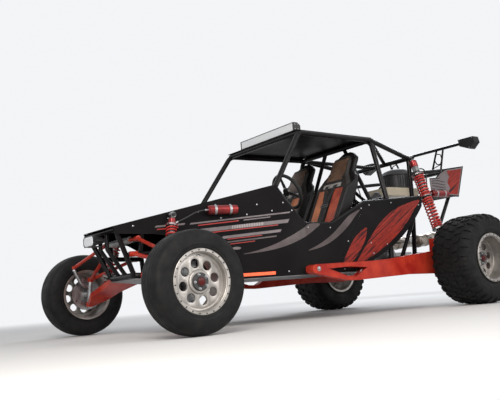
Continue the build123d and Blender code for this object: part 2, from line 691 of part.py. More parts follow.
def build_rim(axle_x, axle_z, inner_y, outer_y, disc_y, stub_r):
    """A left wheel rim with its clamp ring, drilled disc and hub."""
    back = disc_y - DISC_THICKNESS
    rim_outline = [
        (outer_y, RIM_RING_R),
        (outer_y - RIM_LIP, RIM_RING_R),
        (outer_y - RIM_LIP, BEAD_R),
        (inner_y + RIM_LIP, BEAD_R),
        (inner_y, RIM_FLANGE_R),
        (inner_y, RIM_BARREL_R),
        (back, RIM_BARREL_R),
        (back, HUB_R - 4),
        (disc_y, HUB_R - 4),
        (disc_y, RIM_BARREL_R),
        (outer_y, RIM_BARREL_R),
    ]
    axle = wheel_plane(axle_x, 0, axle_z)
    with BuildPart() as rim:
        add(turned(rim_outline, axle, WHEEL_FLATS))
        with BuildSketch(axle.offset(disc_y)):
            with PolarLocations(DISC_HOLE_PITCH_R, DISC_HOLE_COUNT, start_angle=DISC_HOLE_START_DEG):
                RegularPolygon(DISC_HOLE_R, DISC_HOLE_FLATS)
        extrude(amount=-DISC_THICKNESS, mode=Mode.SUBTRACT)
        with BuildSketch(axle.offset(back - HUB_BACK)):
            RegularPolygon(HUB_R, HUB_FLATS)
        extrude(amount=HUB_BACK + DISC_THICKNESS + HUB_FRONT)
        hub_depth = HUB_BACK + DISC_THICKNESS + HUB_FRONT
        drill(axle.offset(back - HUB_BACK), stub_r + BORE_CLEARANCE, hub_depth - HUB_CAP)
    return rim.part


def build_tyre(axle_x, axle_z, inner_y, outer_y, width, profile):
    """A left tyre, hollow, from (share of half width, drop below the tread) points of its section."""
    middle = wheel_plane(axle_x, (inner_y + outer_y) / 2, axle_z)
    half = width / 2
    bead = (outer_y - inner_y) / 2 - RIM_LIP - SEAT_GAP
    outside = [(share * half, axle_z - drop) for share, drop in profile]
    foot = [(bead, RIM_RING_R + 1), (bead, BEAD_R + SEAT_GAP)]
    inside = [(bead - TYRE_WALL, BEAD_R + SEAT_GAP), (half - TYRE_WALL, axle_z - profile[1][1] - TYRE_WALL)]
    section = outside[::-1] + foot + inside
    return turned(section + [(-offset, radius) for offset, radius in reversed(section)], middle, WHEEL_FLATS)


# Tread and sidewall: share of the half width, drop below the tread's radius
front_profile = [(1.0, 74.0), (0.94, 36.0), (0.78, 12.0), (0.4, 0.0)]
rear_profile = [(1.0, 82.0), (0.96, 44.0), (0.86, 16.0), (0.55, 0.0)]

front_rim = build_rim(
    FRONT_AXLE_X, FRONT_TYRE_R, FRONT_RIM_INNER_Y, FRONT_RIM_OUTER_Y, FRONT_DISC_Y, FRONT_STUB_R
)
rear_rim = build_rim(REAR_AXLE_X, REAR_TYRE_R, REAR_RIM_INNER_Y, REAR_RIM_OUTER_Y, REAR_DISC_Y, REAR_STUB_R)
front_tyre = build_tyre(
    FRONT_AXLE_X, FRONT_TYRE_R, FRONT_RIM_INNER_Y, FRONT_RIM_OUTER_Y, FRONT_TYRE_WIDTH, front_profile
)
rear_tyre = build_tyre(
    REAR_AXLE_X, REAR_TYRE_R, REAR_RIM_INNER_Y, REAR_RIM_OUTER_Y, REAR_TYRE_WIDTH, rear_profile
)

# Front knuckle: pins in the arms' bosses, the upright between them, the stub axle and the steering arm
kingpin_run = Vector(*KINGPIN_HIGH) - Vector(*KINGPIN_LOW)
kingpin = Plane(origin=KINGPIN_LOW, z_dir=kingpin_run)
FRONT_STUB_END = FRONT_DISC_Y + HUB_FRONT - HUB_CAP - KNUCKLE_GAP
steer_root = (KINGPIN_LOW[0], KINGPIN_LOW[1], 395.0)
steer_mid = (1752.0, 792.0, 440.0)
with BuildPart() as knuckle:
    with BuildSketch(kingpin.offset(-LOWER_BOSS_HALF)):
        Circle(KINGPIN_R)
    extrude(amount=kingpin_run.length + LOWER_BOSS_HALF + UPPER_BOSS_HALF)
    with BuildSketch(kingpin.offset(LOWER_BOSS_HALF + KNUCKLE_GAP)):
        RegularPolygon(UPRIGHT_R, HUB_FLATS)
    extrude(amount=kingpin_run.length - LOWER_BOSS_HALF - UPPER_BOSS_HALF - KNUCKLE_GAP * 2)
    hub_back_y = FRONT_DISC_Y - DISC_THICKNESS - HUB_BACK
    spindle_start = (FRONT_AXLE_X, KINGPIN_LOW[1], FRONT_TYRE_R)
    bar(spindle_start, (FRONT_AXLE_X, hub_back_y - KNUCKLE_GAP, FRONT_TYRE_R), SPINDLE_R)
    with BuildSketch(wheel_plane(FRONT_AXLE_X, hub_back_y - KNUCKLE_GAP, FRONT_TYRE_R)):
        Circle(FRONT_STUB_R)
    extrude(amount=FRONT_STUB_END - hub_back_y + KNUCKLE_GAP)
    with BuildSketch(wheel_plane(FRONT_AXLE_X, BRAKE_DISC_Y, FRONT_TYRE_R)):
        RegularPolygon(BRAKE_DISC_R, WHEEL_FLATS)
    extrude(amount=BRAKE_DISC_THICKNESS)
    caliper_y = BRAKE_DISC_Y + (BRAKE_DISC_THICKNESS - CALIPER[1]) / 2
    with BuildSketch(wheel_plane(FRONT_AXLE_X, caliper_y, CALIPER_Z)):
        Rectangle(CALIPER[0], CALIPER[2])
    extrude(amount=CALIPER[1])
    bar(steer_root, steer_mid, STEER_ARM_R)
    bar(steer_mid, STEER_ARM_END, STEER_ARM_R)
    eye_half = Vector(0, 0, STEER_EYE_HALF)
    bar(Vector(*STEER_ARM_END) - eye_half, Vector(*STEER_ARM_END) + eye_half, TIE_EYE_R)

# Front lower arm: a boxed plate from two bushes on the floor rail to the ball joint
rail_run = (Vector(*floor_front) - Vector(*keel_low)).normalized()
rail_out = Vector(rail_run.Y, -rail_run.X, 0).normalized()
lower_origin = Vector(*keel_low) + rail_run * LOWER_ARM_START + rail_out * (MAIN_TUBE_R + SEAT_GAP + BUSH_R)
lower_normal = rail_run.cross(Vector(*KINGPIN_LOW) - lower_origin)
lower_plane = Plane(origin=lower_origin, x_dir=rail_run, z_dir=lower_normal)
lower_ball = lower_plane.to_local_coords(Vector(*KINGPIN_LOW))
with BuildPart() as lower_arm:
    with BuildSketch(lower_plane):
        Polygon(
            (-BUSH_SPREAD - 20, 0),
            (BUSH_SPREAD + 20, 0),
            (BUSH_SPREAD - 10, lower_ball.Y * 0.38),
            (lower_ball.X + 55, lower_ball.Y * 0.69),
            (lower_ball.X + 20, lower_ball.Y),
            (lower_ball.X - 20, lower_ball.Y),
            (lower_ball.X - 150, lower_ball.Y * 0.65),
            align=None,
        )
    extrude(amount=LOWER_ARM_THICKNESS / 2, both=True)
    for offset in (-BUSH_SPREAD, BUSH_SPREAD):
        start = lower_plane.from_local_coords((offset - BUSH_LENGTH / 2, 0, 0))
        bar(start, start + rail_run * BUSH_LENGTH, BUSH_R)
    for lift in (LOWER_BOSS_HALF, -LOWER_BOSS_HALF - 60):
        with BuildSketch(kingpin.offset(lift)):
            Rectangle(LOWER_BOSS_R * 3, LOWER_BOSS_R * 3)
        extrude(amount=60, mode=Mode.SUBTRACT)
    with BuildSketch(kingpin.offset(-LOWER_BOSS_HALF)):
        RegularPolygon(LOWER_BOSS_R, HUB_FLATS)
    extrude(amount=LOWER_BOSS_HALF * 2)
    drill(kingpin.offset(-LOWER_BOSS_HALF), KINGPIN_R + BORE_CLEARANCE, LOWER_BOSS_HALF * 2)
    for ear_y in (-EAR_OFFSET - EAR, EAR_OFFSET):
        with BuildSketch(Plane.XZ.offset(-FRONT_SHOCK_LOW[1] - ear_y)):
            Polygon(
                (FRONT_SHOCK_LOW[0] - 34, 352),
                (FRONT_SHOCK_LOW[0] + 34, 352),
                (FRONT_SHOCK_LOW[0] + 17, FRONT_SHOCK_LOW[2] + 19),
                (FRONT_SHOCK_LOW[0] - 17, FRONT_SHOCK_LOW[2] + 19),
                align=None,
            )
        extrude(amount=-EAR)
    pin_start = Vector(*FRONT_SHOCK_LOW) - Vector(0, EAR_OFFSET + EAR + 6, 0)
    bar(pin_start, pin_start + Vector(0, (EAR_OFFSET + EAR + 6) * 2, 0), SHOCK_PIN_R)

# Front upper arm: two legs from bushes on the bay tube to the upper ball joint
bay_start = Vector(*bay_front)
bay_run = (Vector(*bay_rear) - bay_start).normalized()
bay_out = Vector(bay_run.Y, -bay_run.X, 0)
with BuildPart() as upper_arm:
    for along in (32, 362):
        bush = bay_start + bay_run * along + bay_out * (BRACE_TUBE_R + SEAT_GAP + BUSH_R)
        bar(bush - bay_run * (BUSH_LENGTH / 2), bush + bay_run * (BUSH_LENGTH / 2), BUSH_R)
        bar(bush, KINGPIN_HIGH, UPPER_LEG_R)
    with BuildSketch(kingpin.offset(kingpin_run.length - UPPER_BOSS_HALF)):
        RegularPolygon(UPPER_BOSS_R, HUB_FLATS)
    extrude(amount=UPPER_BOSS_HALF * 2)
    upper_bore = kingpin.offset(kingpin_run.length - UPPER_BOSS_HALF)
    drill(upper_bore, KINGPIN_R + BORE_CLEARANCE, UPPER_BOSS_HALF * 3)

# Steering rack: housing on the bay's cross tube, and the sliding bar with both tie rods
RACK_X = RACK_TUBE_X + LIGHT_TUBE_R + SEAT_GAP + RACK_HOUSING_R
rack_plane = Plane(origin=(RACK_X, 0, RACK_Z), x_dir=(1, 0, 0), z_dir=(0, 1, 0))
with BuildPart() as rack_housing:
    bar((RACK_X, -RACK_HOUSING_HALF, RACK_Z), (RACK_X, RACK_HOUSING_HALF, RACK_Z), RACK_HOUSING_R)
    drill(rack_plane.offset(-RACK_HOUSING_HALF), RACK_BAR_R + BORE_CLEARANCE, RACK_HOUSING_HALF * 2)

TIE_EYE_LOW_Z = STEER_ARM_END[2] + STEER_EYE_HALF + MOVING_GAP
with BuildPart() as steering_rack:
    with BuildSketch(rack_plane.offset(-RACK_BALL_Y)):
        Circle(RACK_BAR_R)
    extrude(amount=RACK_BALL_Y * 2)
    for side in (1, -1):
        ball = Vector(RACK_X, side * RACK_BALL_Y, RACK_Z)
        eye = Vector(STEER_ARM_END[0], side * STEER_ARM_END[1], TIE_EYE_LOW_Z)
        bar(ball - Vector(0, RACK_BALL_R, 0), ball + Vector(0, RACK_BALL_R, 0), RACK_BALL_R)
        bar(ball, eye + Vector(0, 0, TIE_EYE_HEIGHT / 2), TIE_ROD_R)
        bar(eye, eye + Vector(0, 0, TIE_EYE_HEIGHT), TIE_EYE_R)

# Steering column and wheel, tilted towards the driver
column_run = Vector(cos(radians(WHEEL_TILT_DEG)), 0, -sin(radians(WHEEL_TILT_DEG)))
COLUMN_START = 70.0
COLUMN_END = 430.0
rim_plane = Plane(origin=WHEEL_CENTRE, x_dir=(0, 1, 0), z_dir=column_run)
with BuildPart() as steering_column:
    with BuildSketch(rim_plane.offset(COLUMN_START)):
        RegularPolygon(COLUMN_TUBE_R, HUB_FLATS)
        Circle(COLUMN_R + BORE_CLEARANCE, mode=Mode.SUBTRACT)
    extrude(amount=COLUMN_END - COLUMN_START)
    with BuildSketch(Plane.YZ.offset(DASH_X - SEAT_GAP)):
        with Locations(column_at_dash):
            Rectangle(72, 96)
    extrude(amount=-5)
    drill(rim_plane.offset(COLUMN_START), COLUMN_R + BORE_CLEARANCE, COLUMN_END - COLUMN_START)

grip = WHEEL_RIM_R * 0.5
grip_outline = [
    (-WHEEL_RIM_R, WHEEL_R + grip),
    (0, WHEEL_R + WHEEL_RIM_R),
    (WHEEL_RIM_R, WHEEL_R + grip),
    (WHEEL_RIM_R, WHEEL_R - grip),
    (0, WHEEL_R - WHEEL_RIM_R),
    (-WHEEL_RIM_R, WHEEL_R - grip),
]
with BuildPart() as steering_wheel:
    add(turned(grip_outline, rim_plane, STEERING_FLATS))
    with BuildSketch(rim_plane.offset(3)):
        with PolarLocations(WHEEL_R / 2, 3, start_angle=90):
            Rectangle(WHEEL_R - 6, 26)
    extrude(amount=5)
    with BuildSketch(rim_plane.offset(-4)):
        RegularPolygon(36, HUB_FLATS)
    extrude(amount=34)
    with BuildSketch(rim_plane.offset(26)):
        Circle(COLUMN_R)
    extrude(amount=COLUMN_END - 14)

# Trailing arm: a boxed side plate with its truss, pivot, hub carrier, stub axle and shock clevis
arm_inner = ARM_Y - ARM_WIDTH / 2
arm_outer = ARM_Y + ARM_WIDTH / 2
REAR_STUB_END = REAR_DISC_Y + HUB_FRONT - HUB_CAP - KNUCKLE_GAP
arm_side = [
    (ARM_PIVOT[0], ARM_PIVOT[1] + 34),
    (-200, 440),
    (-458, 452),
    (-1030, 505),
    (-1040, CARRIER_TOP_Z),
    (-1300, 560),
    (-1345, 470),
    (-1345, 330),
    (-1174, 300),
    (-700, 312),
    (-30, 292),
    (110, 300),
    (ARM_PIVOT[0] + 4, ARM_PIVOT[1] - 34),
]
truss_hole = [(300, 398), (90, 328), (-10, 322), (-150, 392), (60, 408)]
with BuildPart() as trailing_arm:
    with BuildSketch(Plane.XZ.offset(-arm_inner)):
        Polygon(*arm_side, align=None)
        Polygon(*truss_hole, align=None, mode=Mode.SUBTRACT)
    extrude(amount=-ARM_WIDTH)
    pivot_in = (ARM_PIVOT[0], BODY_HALF_WIDTH + SEAT_GAP, ARM_PIVOT[1])
    bar(pivot_in, (ARM_PIVOT[0], arm_outer + 6, ARM_PIVOT[1]), PIVOT_BOSS_R)
    bar((REAR_AXLE_X, arm_inner, REAR_TYRE_R), (REAR_AXLE_X, arm_outer + 14, REAR_TYRE_R), 70, HUB_FLATS)
    with BuildSketch(wheel_plane(REAR_AXLE_X, arm_outer, REAR_TYRE_R)):
        Circle(REAR_STUB_R)
    extrude(amount=REAR_STUB_END - arm_outer)
    for ear_y in (-EAR_OFFSET - EAR, EAR_OFFSET):
        with BuildSketch(Plane.XZ.offset(-REAR_SHOCK_LOW[1] - ear_y)):
            Polygon(
                (REAR_SHOCK_LOW[0] - 60, 560),
                (REAR_SHOCK_LOW[0] + 60, 560),
                (REAR_SHOCK_LOW[0] + 20, REAR_SHOCK_LOW[2] + 20),
                (REAR_SHOCK_LOW[0] - 20, REAR_SHOCK_LOW[2] + 20),
                align=None,
            )
        extrude(amount=-EAR)
    pin_start = Vector(*REAR_SHOCK_LOW) - Vector(0, EAR_OFFSET + EAR + 6, 0)
    bar(pin_start, pin_start + Vector(0, (EAR_OFFSET + EAR + 6) * 2, 0), SHOCK_PIN_R)

# Coil-over shocks: eye, body, shaft, collars; the spring stands between the collars
shock_table = [
    # top, low, top bore, body and spring radius, then body start, spring start and spring end as shares
    (FRONT_SHOCK_TOP, FRONT_SHOCK_LOW, SHOCK_STUB_R, FRONT_BODY_R, 44.0, 0.08, 0.2, 0.86),
    (REAR_SHOCK_TOP, REAR_SHOCK_LOW, SHOCK_STUB_R, REAR_BODY_R, 56.0, 0.1, 0.24, 0.92),
]
COLLAR = 14.0
EYE_HALF = 14.0
with BuildPart() as shock_bodies:
    for top, low, top_pin_r, body_r, spring_r, body_from, spring_from, spring_to in shock_table:
        start, end = Vector(*top), Vector(*low)
        run = end - start
        along = run.normalized()
        bar(start, end, SHOCK_SHAFT_R)
        bar(start + run * body_from, start + run * 0.6, body_r)
        bar(start + run * spring_from - along * COLLAR, start + run * spring_from, spring_r, HUB_FLATS)
        bar(start + run * spring_to, start + run * spring_to + along * COLLAR, spring_r, HUB_FLATS)
        for eye, pin_r in ((start, top_pin_r), (end, SHOCK_PIN_R)):
            bar(eye - Vector(0, EYE_HALF, 0), eye + Vector(0, EYE_HALF, 0), SHOCK_EYE_R)
            with BuildSketch(Plane.XZ.offset(-eye.Y - EYE_HALF * 2)) as eye_bore:
                with Locations((eye.X, eye.Z)):
                    RegularPolygon(pin_r + SEAT_GAP, HUB_FLATS, major_radius=False)
            extrude(eye_bore.sketch, amount=EYE_HALF * 4, mode=Mode.SUBTRACT)

with BuildPart() as coil_springs:
    for top, low, top_pin_r, body_r, spring_r, body_from, spring_from, spring_to in shock_table:
        run = Vector(*low) - Vector(*top)
        spring_plane = Plane(origin=Vector(*top) + run * spring_from + run.normalized() * SEAT_GAP, z_dir=run)
        length = run.length * (spring_to - spring_from) - SEAT_GAP * 2
        sleeve = [(0, spring_r - 2), (length, spring_r - 2), (length, body_r + 4), (0, body_r + 4)]
        add(turned(sleeve, spring_plane, HUB_FLATS))

# Shock reservoirs: the front pair on the side panels, the rear pair on the tail fairings
RESERVOIR_R = 36.0
RESERVOIR_FLATS = 12
RESERVOIR_LENGTH = 240.0
BAND = 2.0
FAIRING_Y = tail_low[1] + BRACE_TUBE_R + SEAT_GAP
side_run = Vector(SIDE_COS, -sin(atan(SIDE_SLOPE)), 0)
side_out = Vector(sin(atan(SIDE_SLOPE)), SIDE_COS, 0)
front_reservoir = Vector(1115, body_y(1115), 897) + side_out * (RESERVOIR_R + BAND + SEAT_GAP)
rear_reservoir = Vector(-1543, FAIRING_Y + SHEET + SEAT_GAP + RESERVOIR_R + BAND, 1092)
with BuildPart() as shock_reservoirs:
    for middle, run in ((front_reservoir, side_run), (rear_reservoir, Vector(1, 0, 0))):
        reach = run * (RESERVOIR_LENGTH / 2)
        bar(middle - reach, middle + reach, RESERVOIR_R, RESERVOIR_FLATS)
        for place in (-60, 60):
            bar(middle + run * (place - 9), middle + run * (place + 9), RESERVOIR_R + BAND, RESERVOIR_FLATS)

# Hoses from the shocks to their reservoirs, each held at both ends
HOSE_R = 6.0
HOSE_BEND_R = 65.0
FRONT_HOSE_GAP = 4.0
REAR_HOSE_GAP = 2.2
FRONT_HOSE_SHARE = 0.14
REAR_HOSE_SHARE = 0.15
front_shock_run = Vector(*FRONT_SHOCK_LOW) - Vector(*FRONT_SHOCK_TOP)
rear_shock_run = Vector(*REAR_SHOCK_LOW) - Vector(*REAR_SHOCK_TOP)
front_port = Vector(*FRONT_SHOCK_TOP) + front_shock_run * FRONT_HOSE_SHARE
rear_port = Vector(*REAR_SHOCK_TOP) + rear_shock_run * REAR_HOSE_SHARE
front_hose = [
    front_reservoir + side_run * (RESERVOIR_LENGTH / 2 + SEAT_GAP),
    front_reservoir + side_run * (RESERVOIR_LENGTH / 2 + 70),
    front_port + Vector(-120, 0, 34),
    front_port + Vector(-FRONT_BODY_R - FRONT_HOSE_GAP, 0, 0),
]
rear_hose = [
    rear_port + Vector(-REAR_BODY_R - REAR_HOSE_GAP, 0, 0),
    rear_port + Vector(-150, 0, 30),
    rear_reservoir + Vector(RESERVOIR_LENGTH / 2 + 62, 0, 70),
    rear_reservoir + Vector(RESERVOIR_LENGTH / 2 + 50, 0, 0),
    rear_reservoir + Vector(RESERVOIR_LENGTH / 2 + SEAT_GAP, 0, 0),
]
with BuildPart() as shock_hoses:
    add(tube_solids(front_hose, HOSE_R, [HOSE_BEND_R, HOSE_BEND_R]))
    add(tube_solids(rear_hose, HOSE_R, [HOSE_BEND_R, HOSE_BEND_R, 24]))

# Engine: a V block with its front pulleys and mounts on the cradle rails
ENGINE_FRONT_X = -650.0
ENGINE_LENGTH = 440.0
engine_section = [
    (-120, 480), (120, 480), (150, 610), (270, 770), (175, 850), (60, 700),
    (-60, 700), (-175, 850), (-270, 770), (-150, 610),
]
cover_section = [(270.2, 770.25), (300, 812), (206, 890), (175.2, 850.25)]
plenum_section = [
    (-62, 704), (62, 704), (110, 780), (110, 880), (80, 905), (-80, 905), (-110, 880), (-110, 780),
]
with BuildPart() as engine_block:
    with BuildSketch(Plane.YZ.offset(ENGINE_FRONT_X - ENGINE_LENGTH)):
        Polygon(*engine_section, align=None)
    extrude(amount=ENGINE_LENGTH)
    with BuildSketch(Plane.YZ.offset(ENGINE_FRONT_X)):
        for y, z, pulley_r in ((0, 560, 85), (120, 640, 40), (-105, 660, 46)):
            with Locations((y, z)):
                RegularPolygon(pulley_r, HUB_FLATS)
    extrude(amount=26)
    with BuildSketch(Plane.XY.offset(478)):
        with Locations((-1000, 250), (-1000, -250)):
            Rectangle(40, 285)
    extrude(amount=14)

with BuildPart() as engine_heads:
    with BuildSketch(Plane.YZ.offset(ENGINE_FRONT_X - ENGINE_LENGTH + 15)):
        Polygon(*cover_section, align=None)
        Polygon(*[(-y, z) for y, z in reversed(cover_section)], align=None)
    extrude(amount=ENGINE_LENGTH - 30)
    with BuildSketch(Plane.YZ.offset(ENGINE_FRONT_X - ENGINE_LENGTH + 40)):
        Polygon(*plenum_section, align=None)
    extrude(amount=ENGINE_LENGTH - 80)

# Transaxle behind the engine with its bell housing and axle flanges
FLANGE_HALF = 150.0
SHAFT_Z = 412.0
BELL_X = ENGINE_FRONT_X - ENGINE_LENGTH - SEAT_GAP
BELL_LENGTH = 110.0
bell_wide = [(-150, 430), (150, 430), (150, 640), (90, 695), (-90, 695), (-150, 640)]
bell_narrow = [(-110, 340), (110, 340), (110, 500), (62, 544), (-62, 544), (-110, 500)]
with BuildPart() as transaxle:
    add(faceted([
        [Vector(BELL_X, y, z) for y, z in bell_wide],
        [Vector(BELL_X - BELL_LENGTH, y, z) for y, z in bell_narrow],
    ]))
    with BuildSketch(Plane.YZ.offset(BELL_X - BELL_LENGTH)):
        Polygon(*bell_narrow, align=None)
    extrude(amount=-270)
    bar((REAR_AXLE_X, -FLANGE_HALF, SHAFT_Z), (REAR_AXLE_X, FLANGE_HALF, SHAFT_Z), 62, HUB_FLATS)

# Half shafts with their joint boots, level with the rear axles
shaft_in = Vector(REAR_AXLE_X, FLANGE_HALF + SEAT_GAP, SHAFT_Z)
shaft_out = Vector(REAR_AXLE_X, arm_inner - SEAT_GAP, SHAFT_Z)
with BuildPart() as half_shaft:
    bar(shaft_in, shaft_out, 17)
    bar(shaft_in, shaft_in + Vector(0, 75, 0), 50, HUB_FLATS)
    bar(shaft_out - Vector(0, 80, 0), shaft_out, 50, HUB_FLATS)

# Exhaust: a pipe along each side of the engine bay into a silencer above the transaxle
exhaust_runs = [
    # start, end, radius
    ((-740, 204, 655), (-740, 262, 655), 26.0),
    ((-740, 250, 655), (-1130, 238, 640), 26.0),
    ((-1120, 238, 640), (-1430, 196, 640), 26.0),
    ((-1420, 200, 640), (-1780, 190, 680), 62.0),
    ((-1780, 190, 680), (-1850, 188, 688), 30.0),
]
with BuildPart() as exhaust:
    for start, end, pipe_r in exhaust_runs:
        bar(start, end, pipe_r, HUB_FLATS)

# Air cleaner: domed cap on its tray, with the duct down to the plenum
CLEANER_X = -1440.0
TRAY_LOW_Z = 1115.0
TRAY_TOP_Z = 1200.0
DOME_R = 160.0
DOME_TOP_Z = 1425.0
DUCT_R = 55.0
cleaner_axis = Plane(origin=(CLEANER_X, 0, 0), x_dir=(1, 0, 0), z_dir=(0, 0, 1))
dome_outline = [
    # height, radius
    (TRAY_TOP_Z - 5, DOME_R),
    (DOME_TOP_Z - 80, DOME_R),
    (DOME_TOP_Z - 50, DOME_R - 5),
    (DOME_TOP_Z - 24, DOME_R - 24),
    (DOME_TOP_Z - 8, DOME_R - 60),
    (DOME_TOP_Z, 0),
    (TRAY_TOP_Z - 5, 0),
]
with BuildPart() as air_cleaner:
    with BuildSketch(Plane.XY.offset(TRAY_LOW_Z)) as tray:
        with Locations((-1376, 0)):
            Rectangle(490, 300)
        chamfer(tray.vertices(), 45)
    extrude(amount=TRAY_TOP_Z - TRAY_LOW_Z)
    add(turned(dome_outline, cleaner_axis, DOME_FLATS))
    duct_bend = (-960, 0, 1010)
    bar((-960, 0, 905 + SEAT_GAP), (-960, 0, 1030), DUCT_R, HUB_FLATS)
    bar(duct_bend, (-1200, 0, 1150), DUCT_R, HUB_FLATS)

# Tail fairing plates outside the tail tubes
fairing_side = [
    (-1463, 1253), (-1560, 1262), (-1640, 1325), (-1725, 1362), (TAIL_X, 1404), (-1895, 1073), (-1472, 1078),
]
with BuildPart() as tail_fairings:
    with BuildSketch(Plane.XZ.offset(-FAIRING_Y)):
        Polygon(*fairing_side, align=None)
    extrude(amount=-SHEET)

# Tail bar across the back on four struts, with a wedge-shaped pod at each end
TAIL_BAR_Z = 1588.0
TAIL_BAR_R = 16.0
pod_section = [(598, 1622), (776, 1622), (790, 1562), (724, 1505), (612, 1552)]
with BuildPart() as tail_bar:
    bar((TAIL_BAR_X, -610, TAIL_BAR_Z), (TAIL_BAR_X, 610, TAIL_BAR_Z), TAIL_BAR_R)
    for side in (1, -1):
        for foot_y, top_y in ((201, 292), (315, 375)):
            foot_z = STRUT_FOOT_Z + LIGHT_TUBE_R + SEAT_GAP
            bar((TAIL_BAR_X, side * foot_y, foot_z + 4), (TAIL_BAR_X, side * top_y, TAIL_BAR_Z), 10)
        with BuildSketch(Plane.YZ.offset(TAIL_BAR_X - 45)):
            Polygon(*[(side * y, z) for y, z in pod_section], align=None)
        extrude(amount=90)

# Light strips along the sills
STRIP_X = (1050.0, 716.0)
STRIP_Z = 392.0
strip_length = (STRIP_X[0] - STRIP_X[1]) / SIDE_COS
strip_start = (STRIP_X[0], body_y(STRIP_X[0]) + SEAT_GAP, STRIP_Z)
strip_plane = Plane(origin=strip_start, x_dir=side_run * -1, z_dir=side_out)
with BuildPart() as rocker_lights:
    with BuildSketch(strip_plane):
        with Locations((strip_length / 2, 0)):
            Rectangle(strip_length, 24)
    extrude(amount=8)


def both_sides(part):
    """A left piece with its mirror image, as two solids."""
    return Part(Compound([*part.solids(), *mirror(part, about=Plane.XZ).solids()]).wrapped)


def other_side(part):
    """The right-hand twin of a left piece."""
    return mirror(part, about=Plane.XZ)


parts = {
    "frame_front": frame_front.part,
    "frame_cockpit": frame_cockpit.part,
    "frame_cage": frame_cage.part,
    "frame_rear": frame_rear.part,
    "side_panels": side_panels.part,
    "rear_panels": rear_panels.part,
    "nose_panel": nose_panel.part,
    "dash_panel": dash_panel.part,
    "roof_panel": roof_panel.part,
    "belly_pan": belly_pan.part,
    "light_bar": light_bar.part,
    "headlight": headlight.part,
    "lamp_lenses": Part(Compound([*light_bar_lens.part.solids(), *headlight_lens.part.solids()]).wrapped),
    "seat_shells": seat_pair.part,
    "seat_cushions": seat_cushions.part,
    "console": console.part,
    "front_arms": both_sides(Part(Compound([lower_arm.part.solid(), upper_arm.part.solid()]).wrapped)),
    "rack_housing": rack_housing.part,
    "steering_rack": steering_rack.part,
    "steering_column": steering_column.part,
    "steering_wheel": steering_wheel.part,
    "knuckle_left": knuckle.part,
    "knuckle_right": other_side(knuckle.part),
    "front_rim_left": front_rim,
    "front_rim_right": other_side(front_rim),
    "front_tyre_left": front_tyre,
    "front_tyre_right": other_side(front_tyre),
    "rear_rim_left": rear_rim,
    "rear_rim_right": other_side(rear_rim),
    "rear_tyre_left": rear_tyre,
    "rear_tyre_right": other_side(rear_tyre),
    "trailing_arms": both_sides(trailing_arm.part),
    "shock_bodies": both_sides(shock_bodies.part),
    "coil_springs": both_sides(coil_springs.part),
    "shock_reservoirs": both_sides(shock_reservoirs.part),
    "shock_hoses": both_sides(shock_hoses.part),
    "engine_block": engine_block.part,
    "engine_heads": engine_heads.part,
    "transaxle": transaxle.part,
    "half_shafts": both_sides(half_shaft.part),
    "exhaust": both_sides(exhaust.part),
    "air_cleaner": air_cleaner.part,
    "tail_fairings": both_sides(tail_fairings.part),
    "tail_bar": tail_bar.part,
    "rocker_lights": both_sides(rocker_lights.part),
}

os.makedirs("parts", exist_ok=True)
for name, part in parts.items():
    part.label = name
    export_step(part, f"parts/{name}.step")
    print(name, len(part.solids()), round(part.volume / 1000))
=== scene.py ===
import json
from math import cos, pi, radians, sin, sqrt, tan

import bmesh
import bpy
from mathutils import Matrix, Vector
from mathutils.geometry import tessellate_polygon


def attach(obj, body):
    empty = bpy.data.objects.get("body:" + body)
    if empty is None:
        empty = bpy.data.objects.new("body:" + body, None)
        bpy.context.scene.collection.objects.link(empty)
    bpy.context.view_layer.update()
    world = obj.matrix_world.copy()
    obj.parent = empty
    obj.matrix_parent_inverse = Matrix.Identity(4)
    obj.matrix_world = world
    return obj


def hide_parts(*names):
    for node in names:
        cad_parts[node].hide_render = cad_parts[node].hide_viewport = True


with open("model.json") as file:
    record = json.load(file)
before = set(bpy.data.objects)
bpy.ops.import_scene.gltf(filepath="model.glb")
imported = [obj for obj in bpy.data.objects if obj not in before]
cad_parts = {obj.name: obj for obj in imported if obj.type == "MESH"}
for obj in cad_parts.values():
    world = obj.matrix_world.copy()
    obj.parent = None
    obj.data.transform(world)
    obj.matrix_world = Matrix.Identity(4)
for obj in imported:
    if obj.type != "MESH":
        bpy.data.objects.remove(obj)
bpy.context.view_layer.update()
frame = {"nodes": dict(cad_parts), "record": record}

NODES = frame["nodes"]
MATERIALS = {}
AXIS_X, AXIS_Y, AXIS_Z = Vector((1, 0, 0)), Vector((0, 1, 0)), Vector((0, 0, 1))
AXES = (AXIS_X, AXIS_Y, AXIS_Z)

# Car's measures, in metres, as in the frame
FRONT_AXLE = Vector((1.68, 0.0, 0.348))
REAR_AXLE = Vector((-1.26, 0.0, 0.4))


# Objects and meshes
def placed(name, data):
    """A new object in the scene."""
    made = bpy.data.objects.new(name, data)
    bpy.context.scene.collection.objects.link(made)
    return made


def evaluated(holder):
    """The mesh that an object's modifiers or bevel give."""
    return bpy.data.meshes.new_from_object(holder.evaluated_get(bpy.context.evaluated_depsgraph_get()))


def remeshed(name, voxel, rounds, left_only=False):
    """A CAD node's mesh, remeshed and softened, of the left side alone where that is asked."""
    start = bmesh.new()
    start.from_mesh(NODES[name].data)
    if left_only:
        bmesh.ops.delete(start, geom=[v for v in start.verts if v.co.y < 0], context="VERTS")
    bmesh.ops.remove_doubles(start, verts=start.verts, dist=0.0001)
    mesh = bpy.data.meshes.new("start")
    start.to_mesh(mesh)
    start.free()
    holder = placed("start", mesh)
    remesh = holder.modifiers.new("remesh", "REMESH")
    remesh.mode = "VOXEL"
    remesh.voxel_size = voxel
    soften = holder.modifiers.new("soften", "SMOOTH")
    soften.factor = 0.5
    soften.iterations = rounds
    made = evaluated(holder)
    bpy.data.objects.remove(holder)
    return made


